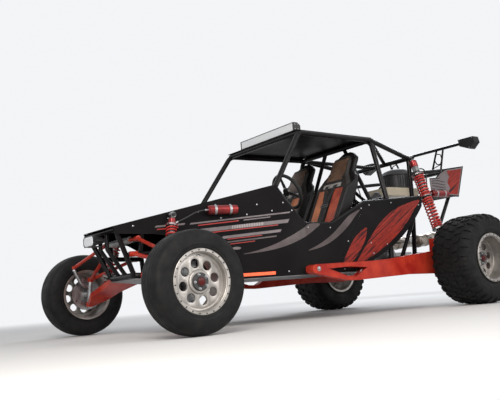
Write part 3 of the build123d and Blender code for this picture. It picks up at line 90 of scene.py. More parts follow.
# Camera fitted to the photograph
CAMERA_AT = Vector((4.0106, 4.8189, 0.2459))
CAMERA_YAW = radians(-126.21)
CAMERA_PITCH = radians(7.79)
CAMERA_ROLL = radians(-4.46)
CAMERA_LENS = 49.22


def make_camera():
    """The photograph's viewpoint: low beside the front wheel, looking a little up."""
    level = cos(CAMERA_PITCH)
    ahead = Vector((cos(CAMERA_YAW) * level, sin(CAMERA_YAW) * level, sin(CAMERA_PITCH)))
    right = Vector((sin(CAMERA_YAW), -cos(CAMERA_YAW), 0))
    up = right.cross(ahead)
    rolled_right = right * cos(CAMERA_ROLL) + up * sin(CAMERA_ROLL)
    rolled_up = up * cos(CAMERA_ROLL) - right * sin(CAMERA_ROLL)
    data = bpy.data.cameras.new("camera")
    data.lens = CAMERA_LENS
    data.sensor_width = 36
    data.clip_end = 200
    camera = placed("camera", data)
    camera.matrix_world = Matrix((
        (rolled_right.x, rolled_up.x, -ahead.x, CAMERA_AT.x),
        (rolled_right.y, rolled_up.y, -ahead.y, CAMERA_AT.y),
        (rolled_right.z, rolled_up.z, -ahead.z, CAMERA_AT.z),
        (0, 0, 0, 1),
    ))
    bpy.context.scene.camera = camera
    bpy.context.scene.view_settings.view_transform = "Standard"


# Materials
def shader_of(material):
    """The material's main shader."""
    return material.node_tree.nodes["Principled BSDF"]


def new_material(name, colour, roughness, metallic=0.0, coat=0.0, sheen=0.0, specular=0.5):
    """A material with its shader's plain values, kept under its name."""
    material = bpy.data.materials.new(name)
    material.use_nodes = True
    MATERIALS[name] = material
    values = {
        "Base Color": (*colour, 1), "Roughness": roughness, "Metallic": metallic, "Coat Weight": coat,
        "Coat Roughness": 0.04, "Sheen Weight": sheen, "Specular IOR Level": specular,
    }
    for key, value in values.items():
        shader_of(material).inputs[key].default_value = value
    return material


def node(holder, kind, **values):
    """A new shader node in a material or world, with its input values set by name."""
    made = holder.node_tree.nodes.new(kind)
    for key, value in values.items():
        made.inputs[key.replace("_", " ")].default_value = value
    return made


def link(holder, out, into):
    """Joins two sockets."""
    holder.node_tree.links.new(out, into)


def maths(holder, kind, operation, *values):
    """The value of a maths node, whose inputs are other nodes' outputs or plain values."""
    made = node(holder, kind)
    made.operation = operation
    for socket, value in zip(made.inputs, values):
        if isinstance(value, bpy.types.NodeSocket):
            link(holder, value, socket)
        else:
            socket.default_value = value
    return made.outputs["Value"]


def object_coordinates(material, stretch=(1, 1, 1)):
    """Object coordinates, stretched."""
    coordinates = node(material, "ShaderNodeTexCoord")
    mapping = node(material, "ShaderNodeMapping", Scale=stretch)
    link(material, coordinates.outputs["Object"], mapping.inputs["Vector"])
    return mapping.outputs["Vector"]


def noise(material, scale, detail, stretch=(1, 1, 1)):
    """Noise in object coordinates."""
    made = node(material, "ShaderNodeTexNoise", Scale=scale, Detail=detail)
    link(material, object_coordinates(material, stretch), made.inputs["Vector"])
    return made.outputs["Fac"]


def regular(material, kind, scale, **settings):
    """A regular texture in object coordinates: a checker, waves or cells."""
    made = node(material, "ShaderNodeTex" + kind, Scale=scale)
    for key, value in settings.items():
        setattr(made, key, value)
    link(material, object_coordinates(material), made.inputs["Vector"])
    return made.outputs["Distance" if kind == "Voronoi" else "Fac"]


def ramp(material, value, stops):
    """A colour ramp over a value, from (place, colour) stops."""
    made = node(material, "ShaderNodeValToRGB")
    elements = made.color_ramp.elements
    while len(elements) < len(stops):
        elements.new(0.5)
    for element, (place, colour) in zip(elements, stops):
        element.position = place
        element.color = (*colour, 1)
    link(material, value, made.inputs["Fac"])
    return made.outputs["Color"]


def vary_colour(material, scale, low, high):
    """Colour that wanders between two tones."""
    tones = ramp(material, noise(material, scale, 5.0), [(0.35, low), (0.65, high)])
    link(material, tones, shader_of(material).inputs["Base Color"])


def vary_roughness(material, scale, low, high, stretch=(1, 1, 1)):
    """Roughness that wanders between two values."""
    mapped = node(material, "ShaderNodeMapRange", From_Min=0.3, From_Max=0.7, To_Min=low, To_Max=high)
    link(material, noise(material, scale, 6.0, stretch), mapped.inputs["Value"])
    link(material, mapped.outputs["Result"], shader_of(material).inputs["Roughness"])


def bump(material, height, strength, distance):
    """Relief from a height value."""
    made = node(material, "ShaderNodeBump", Strength=strength, Distance=distance)
    link(material, height, made.inputs["Height"])
    link(material, made.outputs["Normal"], shader_of(material).inputs["Normal"])


def surface(name, colour, roughness, metallic=0.0, tones=None, wear=None, grain=None, weave=None, glow=None,
            **plain):
    """A material, with wandering colour and roughness, relief from noise or a regular texture, and a glow."""
    material = new_material(name, colour, roughness, metallic, **plain)
    if tones:
        vary_colour(material, *tones)
    if wear:
        vary_roughness(material, *wear)
    if grain:
        scale, detail, strength, distance = grain
        bump(material, noise(material, scale, detail), strength, distance)
    if weave:
        kind, scale, strength, distance, settings = weave
        bump(material, regular(material, kind, scale, **settings), strength, distance)
    if glow:
        shader_of(material).inputs["Emission Color"].default_value = (*glow[0], 1)
        shader_of(material).inputs["Emission Strength"].default_value = glow[1]
    return material


def gloss_paint(name, colour, tones=None, specular=0.22, rough=(0.15, 0.28)):
    """Smooth paint with a faint unevenness."""
    surface(name, colour, 0.2, tones=tones, wear=(3.0, *rough), grain=(220.0, 2.0, 0.03, 0.0004),
            specular=specular)


def make_body_materials():
    """Paints, metals and plastics of the frame, the body, the wheels and the suspension."""
    gloss_paint("frame_black", (0.01, 0.009, 0.01), (9.0, (0.007, 0.006, 0.007), (0.014, 0.013, 0.013)), 0.16)
    gloss_paint("body_black", (0.008, 0.007, 0.008), (2.2, (0.006, 0.005, 0.006), (0.011, 0.01, 0.01)), 0.06,
                (0.38, 0.48))
    gloss_paint("arm_red", (0.42, 0.03, 0.018), (7.0, (0.33, 0.018, 0.012), (0.5, 0.045, 0.022)))
    gloss_paint("spring_red", (0.5, 0.035, 0.03), (16.0, (0.42, 0.024, 0.024), (0.56, 0.05, 0.036)))
    gloss_paint("hub_red", (0.08, 0.008, 0.008))
    surface("pan_aluminium", (0.3, 0.3, 0.31), 0.45, 0.9, (6.0, (0.2, 0.2, 0.205), (0.36, 0.355, 0.35)),
            (30.0, 0.32, 0.6, (1, 12, 1)))
    surface("reservoir_red", (0.24, 0.018, 0.02), 0.3, 0.75,
            (12.0, (0.19, 0.014, 0.016), (0.28, 0.022, 0.022)), (80.0, 0.22, 0.4, (20, 1, 1)), coat=0.3)
    surface("bare_steel", (0.34, 0.34, 0.35), 0.35, 1.0, (20.0, (0.26, 0.26, 0.27), (0.4, 0.4, 0.4)),
            (40.0, 0.25, 0.5))
    surface("shock_steel", (0.2, 0.2, 0.21), 0.35, 0.9, (10.0, (0.15, 0.15, 0.155), (0.26, 0.255, 0.25)),
            (30.0, 0.28, 0.45))
    surface("rim_silver", (0.4, 0.375, 0.35), 0.38, 0.85, (12.0, (0.31, 0.29, 0.27), (0.44, 0.415, 0.39)),
            (60.0, 0.3, 0.5), (420.0, 3.0, 0.06, 0.0004))
    surface("tyre_rubber", (0.01, 0.01, 0.011), 0.62, 0.0,
            (18.0, (0.0075, 0.0075, 0.008), (0.0135, 0.013, 0.013)), (12.0, 0.48, 0.75),
            (380.0, 5.0, 0.2, 0.0008), specular=0.16)
    surface("bolt_steel", (0.4, 0.4, 0.41), 0.38, 1.0, wear=(90.0, 0.3, 0.48))
    surface("hub_black", (0.016, 0.015, 0.015), 0.35, wear=(60.0, 0.28, 0.45), coat=0.5)
    surface("plastic_black", (0.017, 0.017, 0.018), 0.42, wear=(50.0, 0.34, 0.52),
            grain=(600.0, 2.0, 0.08, 0.0004))
    surface("hose_black", (0.014, 0.014, 0.014), 0.5, wear=(40.0, 0.42, 0.6),
            weave=("Checker", 420.0, 0.2, 0.0004, {}))


def make_engine_and_lamp_materials():
    """Castings, exhaust and intake, and the lamps' housings and lenses."""
    surface("cast_aluminium", (0.5, 0.5, 0.5), 0.55, 0.85, (8.0, (0.32, 0.32, 0.32), (0.52, 0.52, 0.51)),
            grain=(260.0, 6.0, 0.35, 0.0012))
    surface("engine_iron", (0.16, 0.16, 0.17), 0.6, 0.7, (9.0, (0.08, 0.08, 0.085), (0.22, 0.215, 0.21)),
            grain=(240.0, 6.0, 0.4, 0.0012))
    surface("exhaust_steel", (0.42, 0.38, 0.33), 0.32, 1.0, (5.0, (0.22, 0.17, 0.13), (0.5, 0.46, 0.42)),
            (24.0, 0.2, 0.45))
    surface("intake_cream", (0.66, 0.58, 0.44), 0.4, 0.0, (6.0, (0.6, 0.52, 0.39), (0.7, 0.62, 0.48)),
            grain=(500.0, 2.0, 0.08, 0.0004), coat=0.2)
    surface("strip_red", (0.75, 0.07, 0.02), 0.3, 0.0, (40.0, (0.66, 0.05, 0.015), (0.82, 0.1, 0.03)),
            glow=((1, 0.13, 0.03), 0.8), coat=0.6)
    surface("lamp_housing", (0.02, 0.02, 0.021), 0.5, wear=(60.0, 0.38, 0.6),
            grain=(900.0, 2.0, 0.12, 0.0005))
    surface("lamp_lens", (0.75, 0.77, 0.79), 0.12, glow=((1, 1, 1), 0.06), coat=0.3,
            weave=("Voronoi", 90.0, 0.25, 0.002, {"feature": "DISTANCE_TO_EDGE"}))
    surface("lamp_bright", (0.6, 0.62, 0.64), 0.2, 0.2, wear=(60.0, 0.1, 0.25), glow=((0.95, 0.97, 1), 0.12),
            coat=0.3)
    surface("lens_red", (0.3, 0.01, 0.01), 0.12, coat=0.6,
            weave=("Wave", 120.0, 0.3, 0.001, {"bands_direction": "Y"}))


LEATHERS = [
    # name, darker tone, lighter tone
    ("leather_brown", (0.075, 0.036, 0.02), (0.15, 0.08, 0.045)),
    ("leather_tan", (0.42, 0.12, 0.05), (0.58, 0.2, 0.085)),
    ("leather_red", (0.24, 0.03, 0.018), (0.46, 0.085, 0.04)),
]


def make_seat_materials():
    """Leathers, webbing, the shells and the grip."""
    surface("seat_shell", (0.011, 0.01, 0.01), 0.42, wear=(20.0, 0.3, 0.5),
            weave=("Checker", 180.0, 0.15, 0.0004, {}), specular=0.2)
    surface("seat_leather", (0.02, 0.017, 0.016), 0.55, 0.0,
            (14.0, (0.014, 0.012, 0.011), (0.026, 0.022, 0.02)), weave=("Voronoi", 340.0, 0.3, 0.0006, {}),
            sheen=0.05, specular=0.3)
    for name, low, high in LEATHERS:
        surface(name, high, 0.5, 0.0, (9.0, low, high), (14.0, 0.42, 0.6),
                weave=("Voronoi", 340.0, 0.3, 0.0006, {}), sheen=0.1)
    surface("band_grey", (0.36, 0.34, 0.33), 0.5, 0.0, (12.0, (0.28, 0.265, 0.255), (0.4, 0.38, 0.365)),
            weave=("Wave", 300.0, 0.3, 0.0006, {}), sheen=0.2)
    surface("webbing_black", (0.016, 0.015, 0.015), 0.75, 0.0,
            (30.0, (0.015, 0.014, 0.014), (0.03, 0.028, 0.028)),
            weave=("Wave", 380.0, 0.5, 0.0008, {"bands_direction": "Z"}), sheen=0.1, specular=0.2)
    surface("grip_black", (0.014, 0.014, 0.014), 0.6, wear=(30.0, 0.5, 0.7), grain=(700.0, 3.0, 0.3, 0.0005),
            sheen=0.05, specular=0.25)


INKS_AND_SHADE = [
    # name, darker tone, lighter tone
    ("graphic_grey", (0.135, 0.108, 0.113), (0.195, 0.16, 0.166)),
    ("graphic_red", (0.36, 0.02, 0.018), (0.46, 0.035, 0.028)),
    ("graphic_brown", (0.058, 0.042, 0.042), (0.095, 0.07, 0.07)),
    ("graphic_pale", (0.4, 0.37, 0.37), (0.5, 0.46, 0.46)),
    # painted shade: the black of the gaps between the tail fairing's louvres
    ("painted_louvre_shade", (0.012, 0.011, 0.012), (0.02, 0.018, 0.019)),
    ("switch_white", (0.6, 0.59, 0.57), (0.68, 0.67, 0.65)),
    ("switch_red", (0.5, 0.03, 0.02), (0.6, 0.05, 0.03)),
]
STREAK_ALONG, STREAK_ACROSS = (-2.2, 0, 1.35), (34, 0, 56)
STREAK_TONES = [
    (0.38, (0.014, 0.007, 0.007)), (0.44, (0.16, 0.012, 0.01)), (0.49, (0.34, 0.03, 0.018)),
    (0.53, (0.09, 0.01, 0.009)), (0.57, (0.36, 0.034, 0.02)), (0.64, (0.26, 0.02, 0.014)),
    (0.7, (0.44, 0.07, 0.04)),
]


def make_inks():
    """Plain ink of the graphics and the switches, painted shade for the gaps between the tail fairing's
    louvres, and the brushed streaks.
    """
    for name, low, high in INKS_AND_SHADE:
        surface(name, high, 0.3, 0.0, (8.0, low, high), (5.0, 0.24, 0.38), coat=0.2, specular=0.35)
    streaks = new_material("graphic_streaks", (0.3, 0.03, 0.02), 0.4, specular=0.2)
    place = node(streaks, "ShaderNodeTexCoord").outputs["Object"]
    paired = node(streaks, "ShaderNodeCombineXYZ")
    for direction, socket in ((STREAK_ALONG, "X"), (STREAK_ACROSS, "Y")):
        link(streaks, maths(streaks, "ShaderNodeVectorMath", "DOT_PRODUCT", place, direction),
             paired.inputs[socket])
    brush = node(streaks, "ShaderNodeTexNoise", Scale=1.0, Detail=5.0)
    link(streaks, paired.outputs["Vector"], brush.inputs["Vector"])
    link(streaks, ramp(streaks, brush.outputs["Fac"], STREAK_TONES), shader_of(streaks).inputs["Base Color"])


# Stage and light
FLOOR_REACH = 60
HAZE_FROM, HAZE_TO = 3.5, 10.0
BACKDROP = (0.9, 0.91, 0.93, 1)


def mix_shaders(holder, share, first, second, output):
    """Shows the first shader, and the second by the share."""
    mix = node(holder, "ShaderNodeMixShader")
    link(holder, share, mix.inputs["Fac"])
    link(holder, first.outputs[0], mix.inputs[1])
    link(holder, second.outputs[0], mix.inputs[2])
    link(holder, mix.outputs[0], holder.node_tree.nodes[output].inputs["Surface"])


def make_floor():
    """A pale floor, which the camera sees fade into the backdrop."""
    mesh = bpy.data.meshes.new("floor")
    corners = [(-FLOOR_REACH, -FLOOR_REACH, 0), (FLOOR_REACH, -FLOOR_REACH, 0), (FLOOR_REACH, FLOOR_REACH, 0),
               (-FLOOR_REACH, FLOOR_REACH, 0)]
    mesh.from_pydata(corners, [], [(0, 1, 2, 3)])
    floor = placed("floor", mesh)
    paint = new_material("floor_paint", (0.8, 0.79, 0.78), 0.85)
    place = node(paint, "ShaderNodeTexCoord").outputs["Object"]
    fade = node(paint, "ShaderNodeMapRange", From_Min=HAZE_FROM, From_Max=HAZE_TO)
    fade.interpolation_type = "SMOOTHSTEP"
    link(paint, maths(paint, "ShaderNodeVectorMath", "LENGTH", place), fade.inputs["Value"])
    seen = node(paint, "ShaderNodeLightPath").outputs["Is Camera Ray"]
    share = maths(paint, "ShaderNodeMath", "MULTIPLY", fade.outputs["Result"], seen)
    haze = node(paint, "ShaderNodeEmission", Color=BACKDROP)
    mix_shaders(paint, share, shader_of(paint), haze, "Material Output")
    mesh.materials.append(paint)


def make_world():
    """Soft studio light from all round, and a paler backdrop for the rays that show it."""
    world = bpy.data.worlds.new("studio")
    bpy.context.scene.world = world
    world.use_nodes = True
    background = world.node_tree.nodes["Background"]
    background.inputs["Color"].default_value = (0.86, 0.88, 0.92, 1)
    background.inputs["Strength"].default_value = 0.42
    shown = node(world, "ShaderNodeBackground", Color=BACKDROP, Strength=1.0)
    rays = node(world, "ShaderNodeLightPath").outputs
    direct = maths(world, "ShaderNodeMath", "MAXIMUM", rays["Is Camera Ray"], rays["Is Transmission Ray"])
    seen = maths(world, "ShaderNodeMath", "MAXIMUM", direct, rays["Is Glossy Ray"])
    mix_shaders(world, seen, background, shown, "World Output")


LAMPS = [
    # name, place, aimed at, size, watts, colour
    ("key", (4.5, 4.5, 4.2), (0.2, 0, 0.6), 3.0, 215, (1, 0.96, 0.9)),
    ("side", (-1.5, 6.0, 3.0), (-0.4, 0, 0.7), 4.0, 140, (1, 0.98, 0.95)),
    ("back", (-5.0, -3.5, 3.6), (0, 0, 0.8), 3.0, 150, (0.9, 0.95, 1)),
    ("low", (3.4, 3.4, 0.7), (0.8, 0.3, 0.5), 1.6, 24, (1, 0.95, 0.9)),
]


def make_lamps():
    """Soft area lamps round the car."""
    for name, place, target, size, watts, colour in LAMPS:
        data = bpy.data.lights.new(name, "AREA")
        data.size = size
        data.energy = watts
        data.color = colour
        lamp = placed(name, data)
        lamp.location = place
        lamp.rotation_euler = (Vector(target) - Vector(place)).to_track_quat("-Z", "Y").to_euler()


# Shapes
def add_object(name, mesh, materials, body):
    """A new piece from a mesh, riding on a body."""
    made = placed(name, mesh)
    for entry in materials:
        mesh.materials.append(MATERIALS[entry])
    mesh.polygons.foreach_set("use_smooth", [True] * len(mesh.polygons))
    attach(made, body)
    return made


SMOOTH_BELOW = 33


def smooth_group():
    """A node group that joins a CAD mesh's points and shades its shallow edges smooth."""
    group = bpy.data.node_groups.new("smooth_shallow_edges", "GeometryNodeTree")
    group.interface.new_socket("Geometry", in_out="INPUT", socket_type="NodeSocketGeometry")
    group.interface.new_socket("Geometry", in_out="OUTPUT", socket_type="NodeSocketGeometry")
    start = group.nodes.new("NodeGroupInput")
    end = group.nodes.new("NodeGroupOutput")
    merge = group.nodes.new("GeometryNodeMergeByDistance")
    merge.inputs["Distance"].default_value = 0.00002
    faces, edges = (group.nodes.new("GeometryNodeSetShadeSmooth") for _ in range(2))
    for shading, domain, smooth in ((faces, "FACE", True), (edges, "EDGE", False)):
        shading.domain = domain
        shading.inputs["Shade Smooth"].default_value = smooth
    angle = group.nodes.new("GeometryNodeInputMeshEdgeAngle")
    sharp = group.nodes.new("FunctionNodeCompare")
    sharp.data_type = "FLOAT"
    sharp.operation = "GREATER_THAN"
    sharp.inputs["B"].default_value = radians(SMOOTH_BELOW)
    group.links.new(start.outputs[0], merge.inputs["Geometry"])
    group.links.new(merge.outputs[0], faces.inputs["Geometry"])
    group.links.new(faces.outputs[0], edges.inputs["Geometry"])
    group.links.new(angle.outputs["Unsigned Angle"], sharp.inputs["A"])
    group.links.new(sharp.outputs["Result"], edges.inputs["Selection"])
    group.links.new(edges.outputs[0], end.inputs[0])
    return group


def dress_nodes():
    """The record's slot says which material each CAD node gets."""
    group = smooth_group()
    for part in frame["record"]["subparts"]:
        piece = NODES[part["node"]]
        for slot in piece.material_slots:
            slot.material = MATERIALS[part["material_slot"]]
        modifier = piece.modifiers.new("smooth", "NODES")
        modifier.node_group = group


def way_round(across, up, angle):
    """A direction at an angle from one direction towards another."""
    return across * cos(angle) + up * sin(angle)


def both_ends(path):
    """A path's first and last point, each with the direction into the path."""
    path = [Vector(point) for point in path]
    return [(end, (towards - end).normalized()) for end, towards in ((path[0], path[1]),
                                                                     (path[-1], path[-2]))]


def divided(path, step):
    """A path with points about a step apart, without its last point."""
    dense = []
    for a, b in zip(path[:-1], path[1:]):
        pieces = max(1, round((b - a).length / step))
        dense += [a.lerp(b, k / pieces) for k in range(pieces)]
    return dense


class Shape:
    """Points and faces of several forms that end up in one piece."""

    def __init__(self):
        self.points = []
        self.faces = []
        self.tints = []

    def add(self, points, faces, tint=0):
        """Takes in a form's points and faces, with the place of its material in the piece's list."""
        start = len(self.points)
        self.points += [Vector(point) for point in points]
        self.faces += [tuple(start + i for i in face) for face in faces]
        self.tints += [tint] * len(faces)

    def loft(self, points, size, tint=0, loop=False):
        """Rings of points, each joined to the next: capped at both ends, or a loop back to the first ring."""
        rings = len(points) // size
        faces = []
        for ring in range(rings if loop else rings - 1):
            low, high = ring * size, (ring + 1) % rings * size
            for i in range(size):
                j = (i + 1) % size
                faces.append((low + i, low + j, high + j, high + i))
        if not loop:
            faces += [tuple(reversed(range(size))), tuple(range(len(points) - size, len(points)))]
        self.add(points, faces, tint)

    def tube(self, path, radius, sides=12, tint=0, closed=False):
        """A round bar along a path; the radius is one value or one for each point."""
        path = [Vector(point) for point in path]
        radii = radius if isinstance(radius, (list, tuple)) else [radius] * len(path)
        count = len(path)
        points = []
        across = None
        for i, place in enumerate(path):
            before = path[i - 1] if i or closed else path[0]
            after = path[(i + 1) % count] if i + 1 < count or closed else path[-1]
            along = (after - before).normalized()
            if across is None:
                across = along.orthogonal().normalized()
            across = (across - along * across.dot(along)).normalized()
            other = along.cross(across)
            for step in range(sides):
                angle = 2 * pi * step / sides
                points.append(place + way_round(across, other, angle) * radii[i])
        self.loft(points, sides, tint, loop=closed)

    def spin(self, outline, place, axis, count=48, tint=0):
        """An outline of (offset along the axis, radius) points, turned about the axis."""
        axis = Vector(axis).normalized()
        across = axis.orthogonal().normalized()
        other = axis.cross(across)
        points = []
        for step in range(count):
            out = way_round(across, other, 2 * pi * step / count)
            points += [Vector(place) + axis * offset + out * radius for offset, radius in outline]
        self.loft(points, len(outline), tint, loop=True)

    def box(self, centre, size, tint=0, axes=None):
        """A box by its centre and size, along the given axes."""
        points = []
        for up in (-1, 1):
            for ahead, aside in ((-1, -1), (1, -1), (1, 1), (-1, 1)):
                signs = (ahead, aside, up)
                steps = [axis * (sign * length / 2) for axis, sign, length in zip(axes or AXES, signs, size)]
                points.append(Vector(centre) + sum(steps, Vector()))
        faces = [(0, 3, 2, 1), (4, 5, 6, 7), (0, 1, 5, 4), (1, 2, 6, 5), (2, 3, 7, 6), (3, 0, 4, 7)]
        self.add(points, faces, tint)

    def bolt(self, place, axis, radius, height, tint=0):
        """A hexagon bolt head on its washer."""
        axis = Vector(axis).normalized()
        self.spin([(0, 0), (0, radius * 1.5), (height * 0.3, radius * 1.5), (height * 0.3, 0)],
                  place, axis, 14, tint)
        self.spin(
            [(height * 0.3, 0), (height * 0.3, radius), (height * 0.85, radius), (height, radius * 0.8),
             (height, 0)],
            place, axis, 6, tint,
        )

    def mirrored(self):
        """The same forms on the car's other side."""
        other = Shape()
        other.points = [Vector((p.x, -p.y, p.z)) for p in self.points]
        other.faces = [tuple(reversed(face)) for face in self.faces]
        other.tints = list(self.tints)
        return other

    def take(self, other):
        """Takes in all that another shape holds."""
        start = len(self.points)
        self.points += other.points
        self.faces += [tuple(start + i for i in face) for face in other.faces]
        self.tints += other.tints

    def both_sides(self):
        """The same forms on both sides of the car."""
        both = Shape()
        both.take(self)
        both.take(self.mirrored())
        return both

    def make(self, name, materials, body, sharp_deg=35, nodes=()):
        """The piece itself, with its materials, body and the CAD nodes that it stands in for."""
        mesh = bpy.data.meshes.new(name)
        mesh.from_pydata([tuple(point) for point in self.points], [], self.faces)
        mesh.polygons.foreach_set("material_index", self.tints)
        tidy = bmesh.new()
        tidy.from_mesh(mesh)
        bmesh.ops.remove_doubles(tidy, verts=tidy.verts, dist=0.00001)
        bmesh.ops.dissolve_degenerate(tidy, edges=tidy.edges, dist=0.00001)
        bmesh.ops.recalc_face_normals(tidy, faces=tidy.faces)
        tidy.to_mesh(mesh)
        tidy.free()
        made = add_object(name, mesh, materials, body)
        mesh.set_sharp_from_angle(angle=radians(sharp_deg))
        if nodes:
            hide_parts(*nodes)


def circle(centre, radius, count=32, start=0.0):
    """Points round a circle in a plane."""
    turns = [start + 2 * pi * i / count for i in range(count)]
    return [(centre[0] + radius * cos(turn), centre[1] + radius * sin(turn)) for turn in turns]


def plate(shape, outlines, thickness, bevel, origin, across, up):
    """A flat plate with holes and softened edges, whose front face is in the outlines' plane."""
    curve = bpy.data.curves.new("plate", "CURVE")
    curve.dimensions = "2D"
    curve.fill_mode = "BOTH"
    curve.extrude = thickness / 2 - bevel
    curve.bevel_depth = bevel
    curve.bevel_resolution = 1
    curve.offset = -bevel
    for outline in outlines:
        spline = curve.splines.new("POLY")
        spline.points.add(len(outline) - 1)
        for point, (x, y) in zip(spline.points, outline):
            point.co = (x, y, 0, 1)
        spline.use_cyclic_u = True
    holder = placed("plate", curve)
    mesh = evaluated(holder)
    across, up = Vector(across).normalized(), Vector(up).normalized()
    out = across.cross(up)
    points = [Vector(origin) + across * v.co.x + up * v.co.y + out * (v.co.z - thickness / 2)
              for v in mesh.vertices]
    shape.add(points, [tuple(face.vertices) for face in mesh.polygons])
    bpy.data.objects.remove(holder)
    bpy.data.curves.remove(curve)
    bpy.data.meshes.remove(mesh)


# Wheels
RING, BARREL, BEAD, FLANGE = 0.216, 0.19, 0.204, 0.211
HOLES, HOLE_START, HOLE_CIRCLE = 8, 11, 0.122
RING_BOLTS, RING_BOLT_CIRCLE = 24, 0.2045
LUGS, LUG_CIRCLE = 5, 0.047
FRONT_RIM_Y = (0.836, 1.058, 1.012)
REAR_RIM_Y = (0.79, 1.175, 1.04)


def round_the_axle(centre, count, start, radius, offset=0.0):
    """Places round a circle in a plane across the axle, from the top on."""
    turns = [radians(360 / count * i + start) for i in range(count)]
    return [centre + Vector((sin(turn) * radius, offset, cos(turn) * radius)) for turn in turns]


def make_rim(name, axle, inner_y, ring_y, disc_y, body, side):
    """A wheel: clamp ring with its bolts, stepped barrel, drilled disc and lugged hub."""
    ring, barrel, bead, flange = RING, BARREL, BEAD, FLANGE
    shape = Shape()
    outward = AXIS_Y
    profile = [
        (ring_y - 0.002, ring - 0.001), (ring_y - 0.004, ring), (ring_y - 0.011, ring),
        (ring_y - 0.012, bead), (inner_y + 0.012, bead), (inner_y + 0.012, flange), (inner_y, flange),
        (inner_y, flange - 0.006), (inner_y + 0.006, barrel), (disc_y - 0.034, barrel - 0.002),
        (disc_y - 0.034, barrel - 0.024), (disc_y - 0.026, barrel - 0.028), (disc_y - 0.006, barrel - 0.028),
        (disc_y - 0.002, barrel - 0.024), (disc_y + 0.001, barrel - 0.012), (disc_y + 0.001, barrel - 0.006),
        (disc_y + 0.008, barrel - 0.002), (ring_y - 0.016, barrel - 0.001), (ring_y - 0.012, barrel + 0.003),
        (ring_y - 0.003, barrel + 0.003), (ring_y, barrel + 0.006), (ring_y, ring - 0.004),
    ]
    place = Vector((axle.x, 0, axle.z))
    shape.spin(profile, place, outward, 96)
    centre = Vector((axle.x, disc_y, axle.z))
    eyes = circle((0, 0), HOLE_CIRCLE, HOLES, radians(HOLE_START))
    holes = [circle(eye, 0.031, 28) for eye in eyes]
    plate(shape, [circle((0, 0), barrel - 0.014, 96), circle((0, 0), 0.052, 48), *holes], 0.009, 0.0018,
          centre, (0, 0, 1), (1, 0, 0))
    for at in round_the_axle(centre, HOLES, HOLE_START, HOLE_CIRCLE):
        shape.spin([(-0.009, 0.031), (-0.02, 0.0315), (-0.02, 0.034), (-0.008, 0.0335)], at, outward, 28)
    shape.spin([(-0.03, 0.06), (-0.03, 0.05), (0.012, 0.05), (0.012, 0.072), (0.008, 0.078), (-0.002, 0.081),
                (-0.004, 0.06)], centre, outward, 64)
    for at in round_the_axle(Vector((axle.x, ring_y, axle.z)), RING_BOLTS, 4, RING_BOLT_CIRCLE, -0.0026):
        shape.bolt(at, outward, 0.0056, 0.006, 2)
    hub = centre + Vector((0, 0.012, 0))
    shape.spin([(-0.004, 0), (-0.004, 0.06), (0.008, 0.06), (0.013, 0.056), (0.013, 0.034), (0.02, 0.03),
                (0.02, 0.0)], hub, outward, 48, 2)
    for at in round_the_axle(hub, LUGS, 20, LUG_CIRCLE, 0.012):
        shape.spin([(0, 0), (0, 0.0095), (0.003, 0.0095), (0.003, 0)], at, outward, 20, 1)
        shape.spin([(0.003, 0), (0.003, 0.0072), (0.014, 0.0068), (0.016, 0.005), (0.016, 0)],
                   at, outward, 6, 1)
    shape.spin([(0.018, 0), (0.018, 0.027), (0.022, 0.027), (0.026, 0.023), (0.028, 0.012), (0.0285, 0)],
               hub, outward, 32, 3)
    stem = centre + Vector((0.0, 0.0, 0.176))
    shape.tube([stem, stem + Vector((0, 0.022, -0.004)), stem + Vector((0, 0.034, -0.007))], 0.0035, 8, 2)
    shape = shape if side > 0 else shape.mirrored()
    shape.make(name, ["rim_silver", "bolt_steel", "hub_black", "hub_red"],
               body, 32, [name.replace("wheel_", "")])


FRONT_SECTION = [
    # share of the half width, drop below the tread's radius
    (0.0, 0.0), (0.14, 0.0), (0.16, 0.0028), (0.19, 0.0028), (0.21, 0.0002), (0.4, 0.0012), (0.42, 0.004),
    (0.45, 0.0042), (0.47, 0.0018), (0.62, 0.0048), (0.76, 0.0105), (0.86, 0.02), (0.925, 0.034),
    (0.96, 0.05), (0.984, 0.066), (0.995, 0.079), (0.993, 0.088), (0.985, 0.0965), (0.99, 0.099),
    (0.986, 0.1015), (0.965, 0.108), (0.935, 0.116), (0.95, 0.1185), (0.945, 0.1225), (0.92, 0.127),
    (0.9, 0.1315),
]
REAR_SECTION = [
    (0.0, 0.011), (0.3, 0.0115), (0.55, 0.0135), (0.72, 0.018), (0.84, 0.026), (0.92, 0.038), (0.965, 0.055),
    (0.985, 0.075), (0.995, 0.1), (0.99, 0.12), (0.975, 0.135), (0.98, 0.138), (0.975, 0.142), (0.95, 0.154),
    (0.925, 0.165), (0.935, 0.168), (0.93, 0.172), (0.9, 0.18), (0.885, 0.1835),
]


BEAD_RADIUS = 0.2045
# Tyres: middle y, half the width, radius, foot's distance from the middle
FRONT_TYRE = (0.947, 0.12, 0.348, 0.0985)
REAR_TYRE = (0.9825, 0.196, 0.4, 0.18)


def tyre_rings(section, half, radius, foot_y):
    """The whole section of a tyre as (offset, radius) points: the outside, then back along the inside."""
    outer = [(share * half, radius - drop) for share, drop in section]
    outside = outer[::-1] + [(-y, r) for y, r in outer[1:]]
    foot = BEAD_RADIUS
    inside = [(-foot_y, foot), (-foot_y + 0.014, foot), (-half * 0.86, radius - 0.09),
              (-half * 0.6, radius - 0.035), (half * 0.6, radius - 0.035), (half * 0.86, radius - 0.09),
              (foot_y - 0.014, foot), (foot_y, foot)]
    return outside + inside


def make_front_tyre(name, body, side):
    """A smooth front tyre with two shallow grooves."""
    shape = Shape()
    middle_y, half, radius, foot_y = FRONT_TYRE
    rings = tyre_rings(FRONT_SECTION, half, radius, foot_y)
    shape.spin(rings, FRONT_AXLE + Vector((0, middle_y, 0)), AXIS_Y, 112)
    shape = shape if side > 0 else shape.mirrored()
    shape.make(name, ["tyre_rubber"], body, 40, [name.replace("tyre_round_", "front_tyre_")])


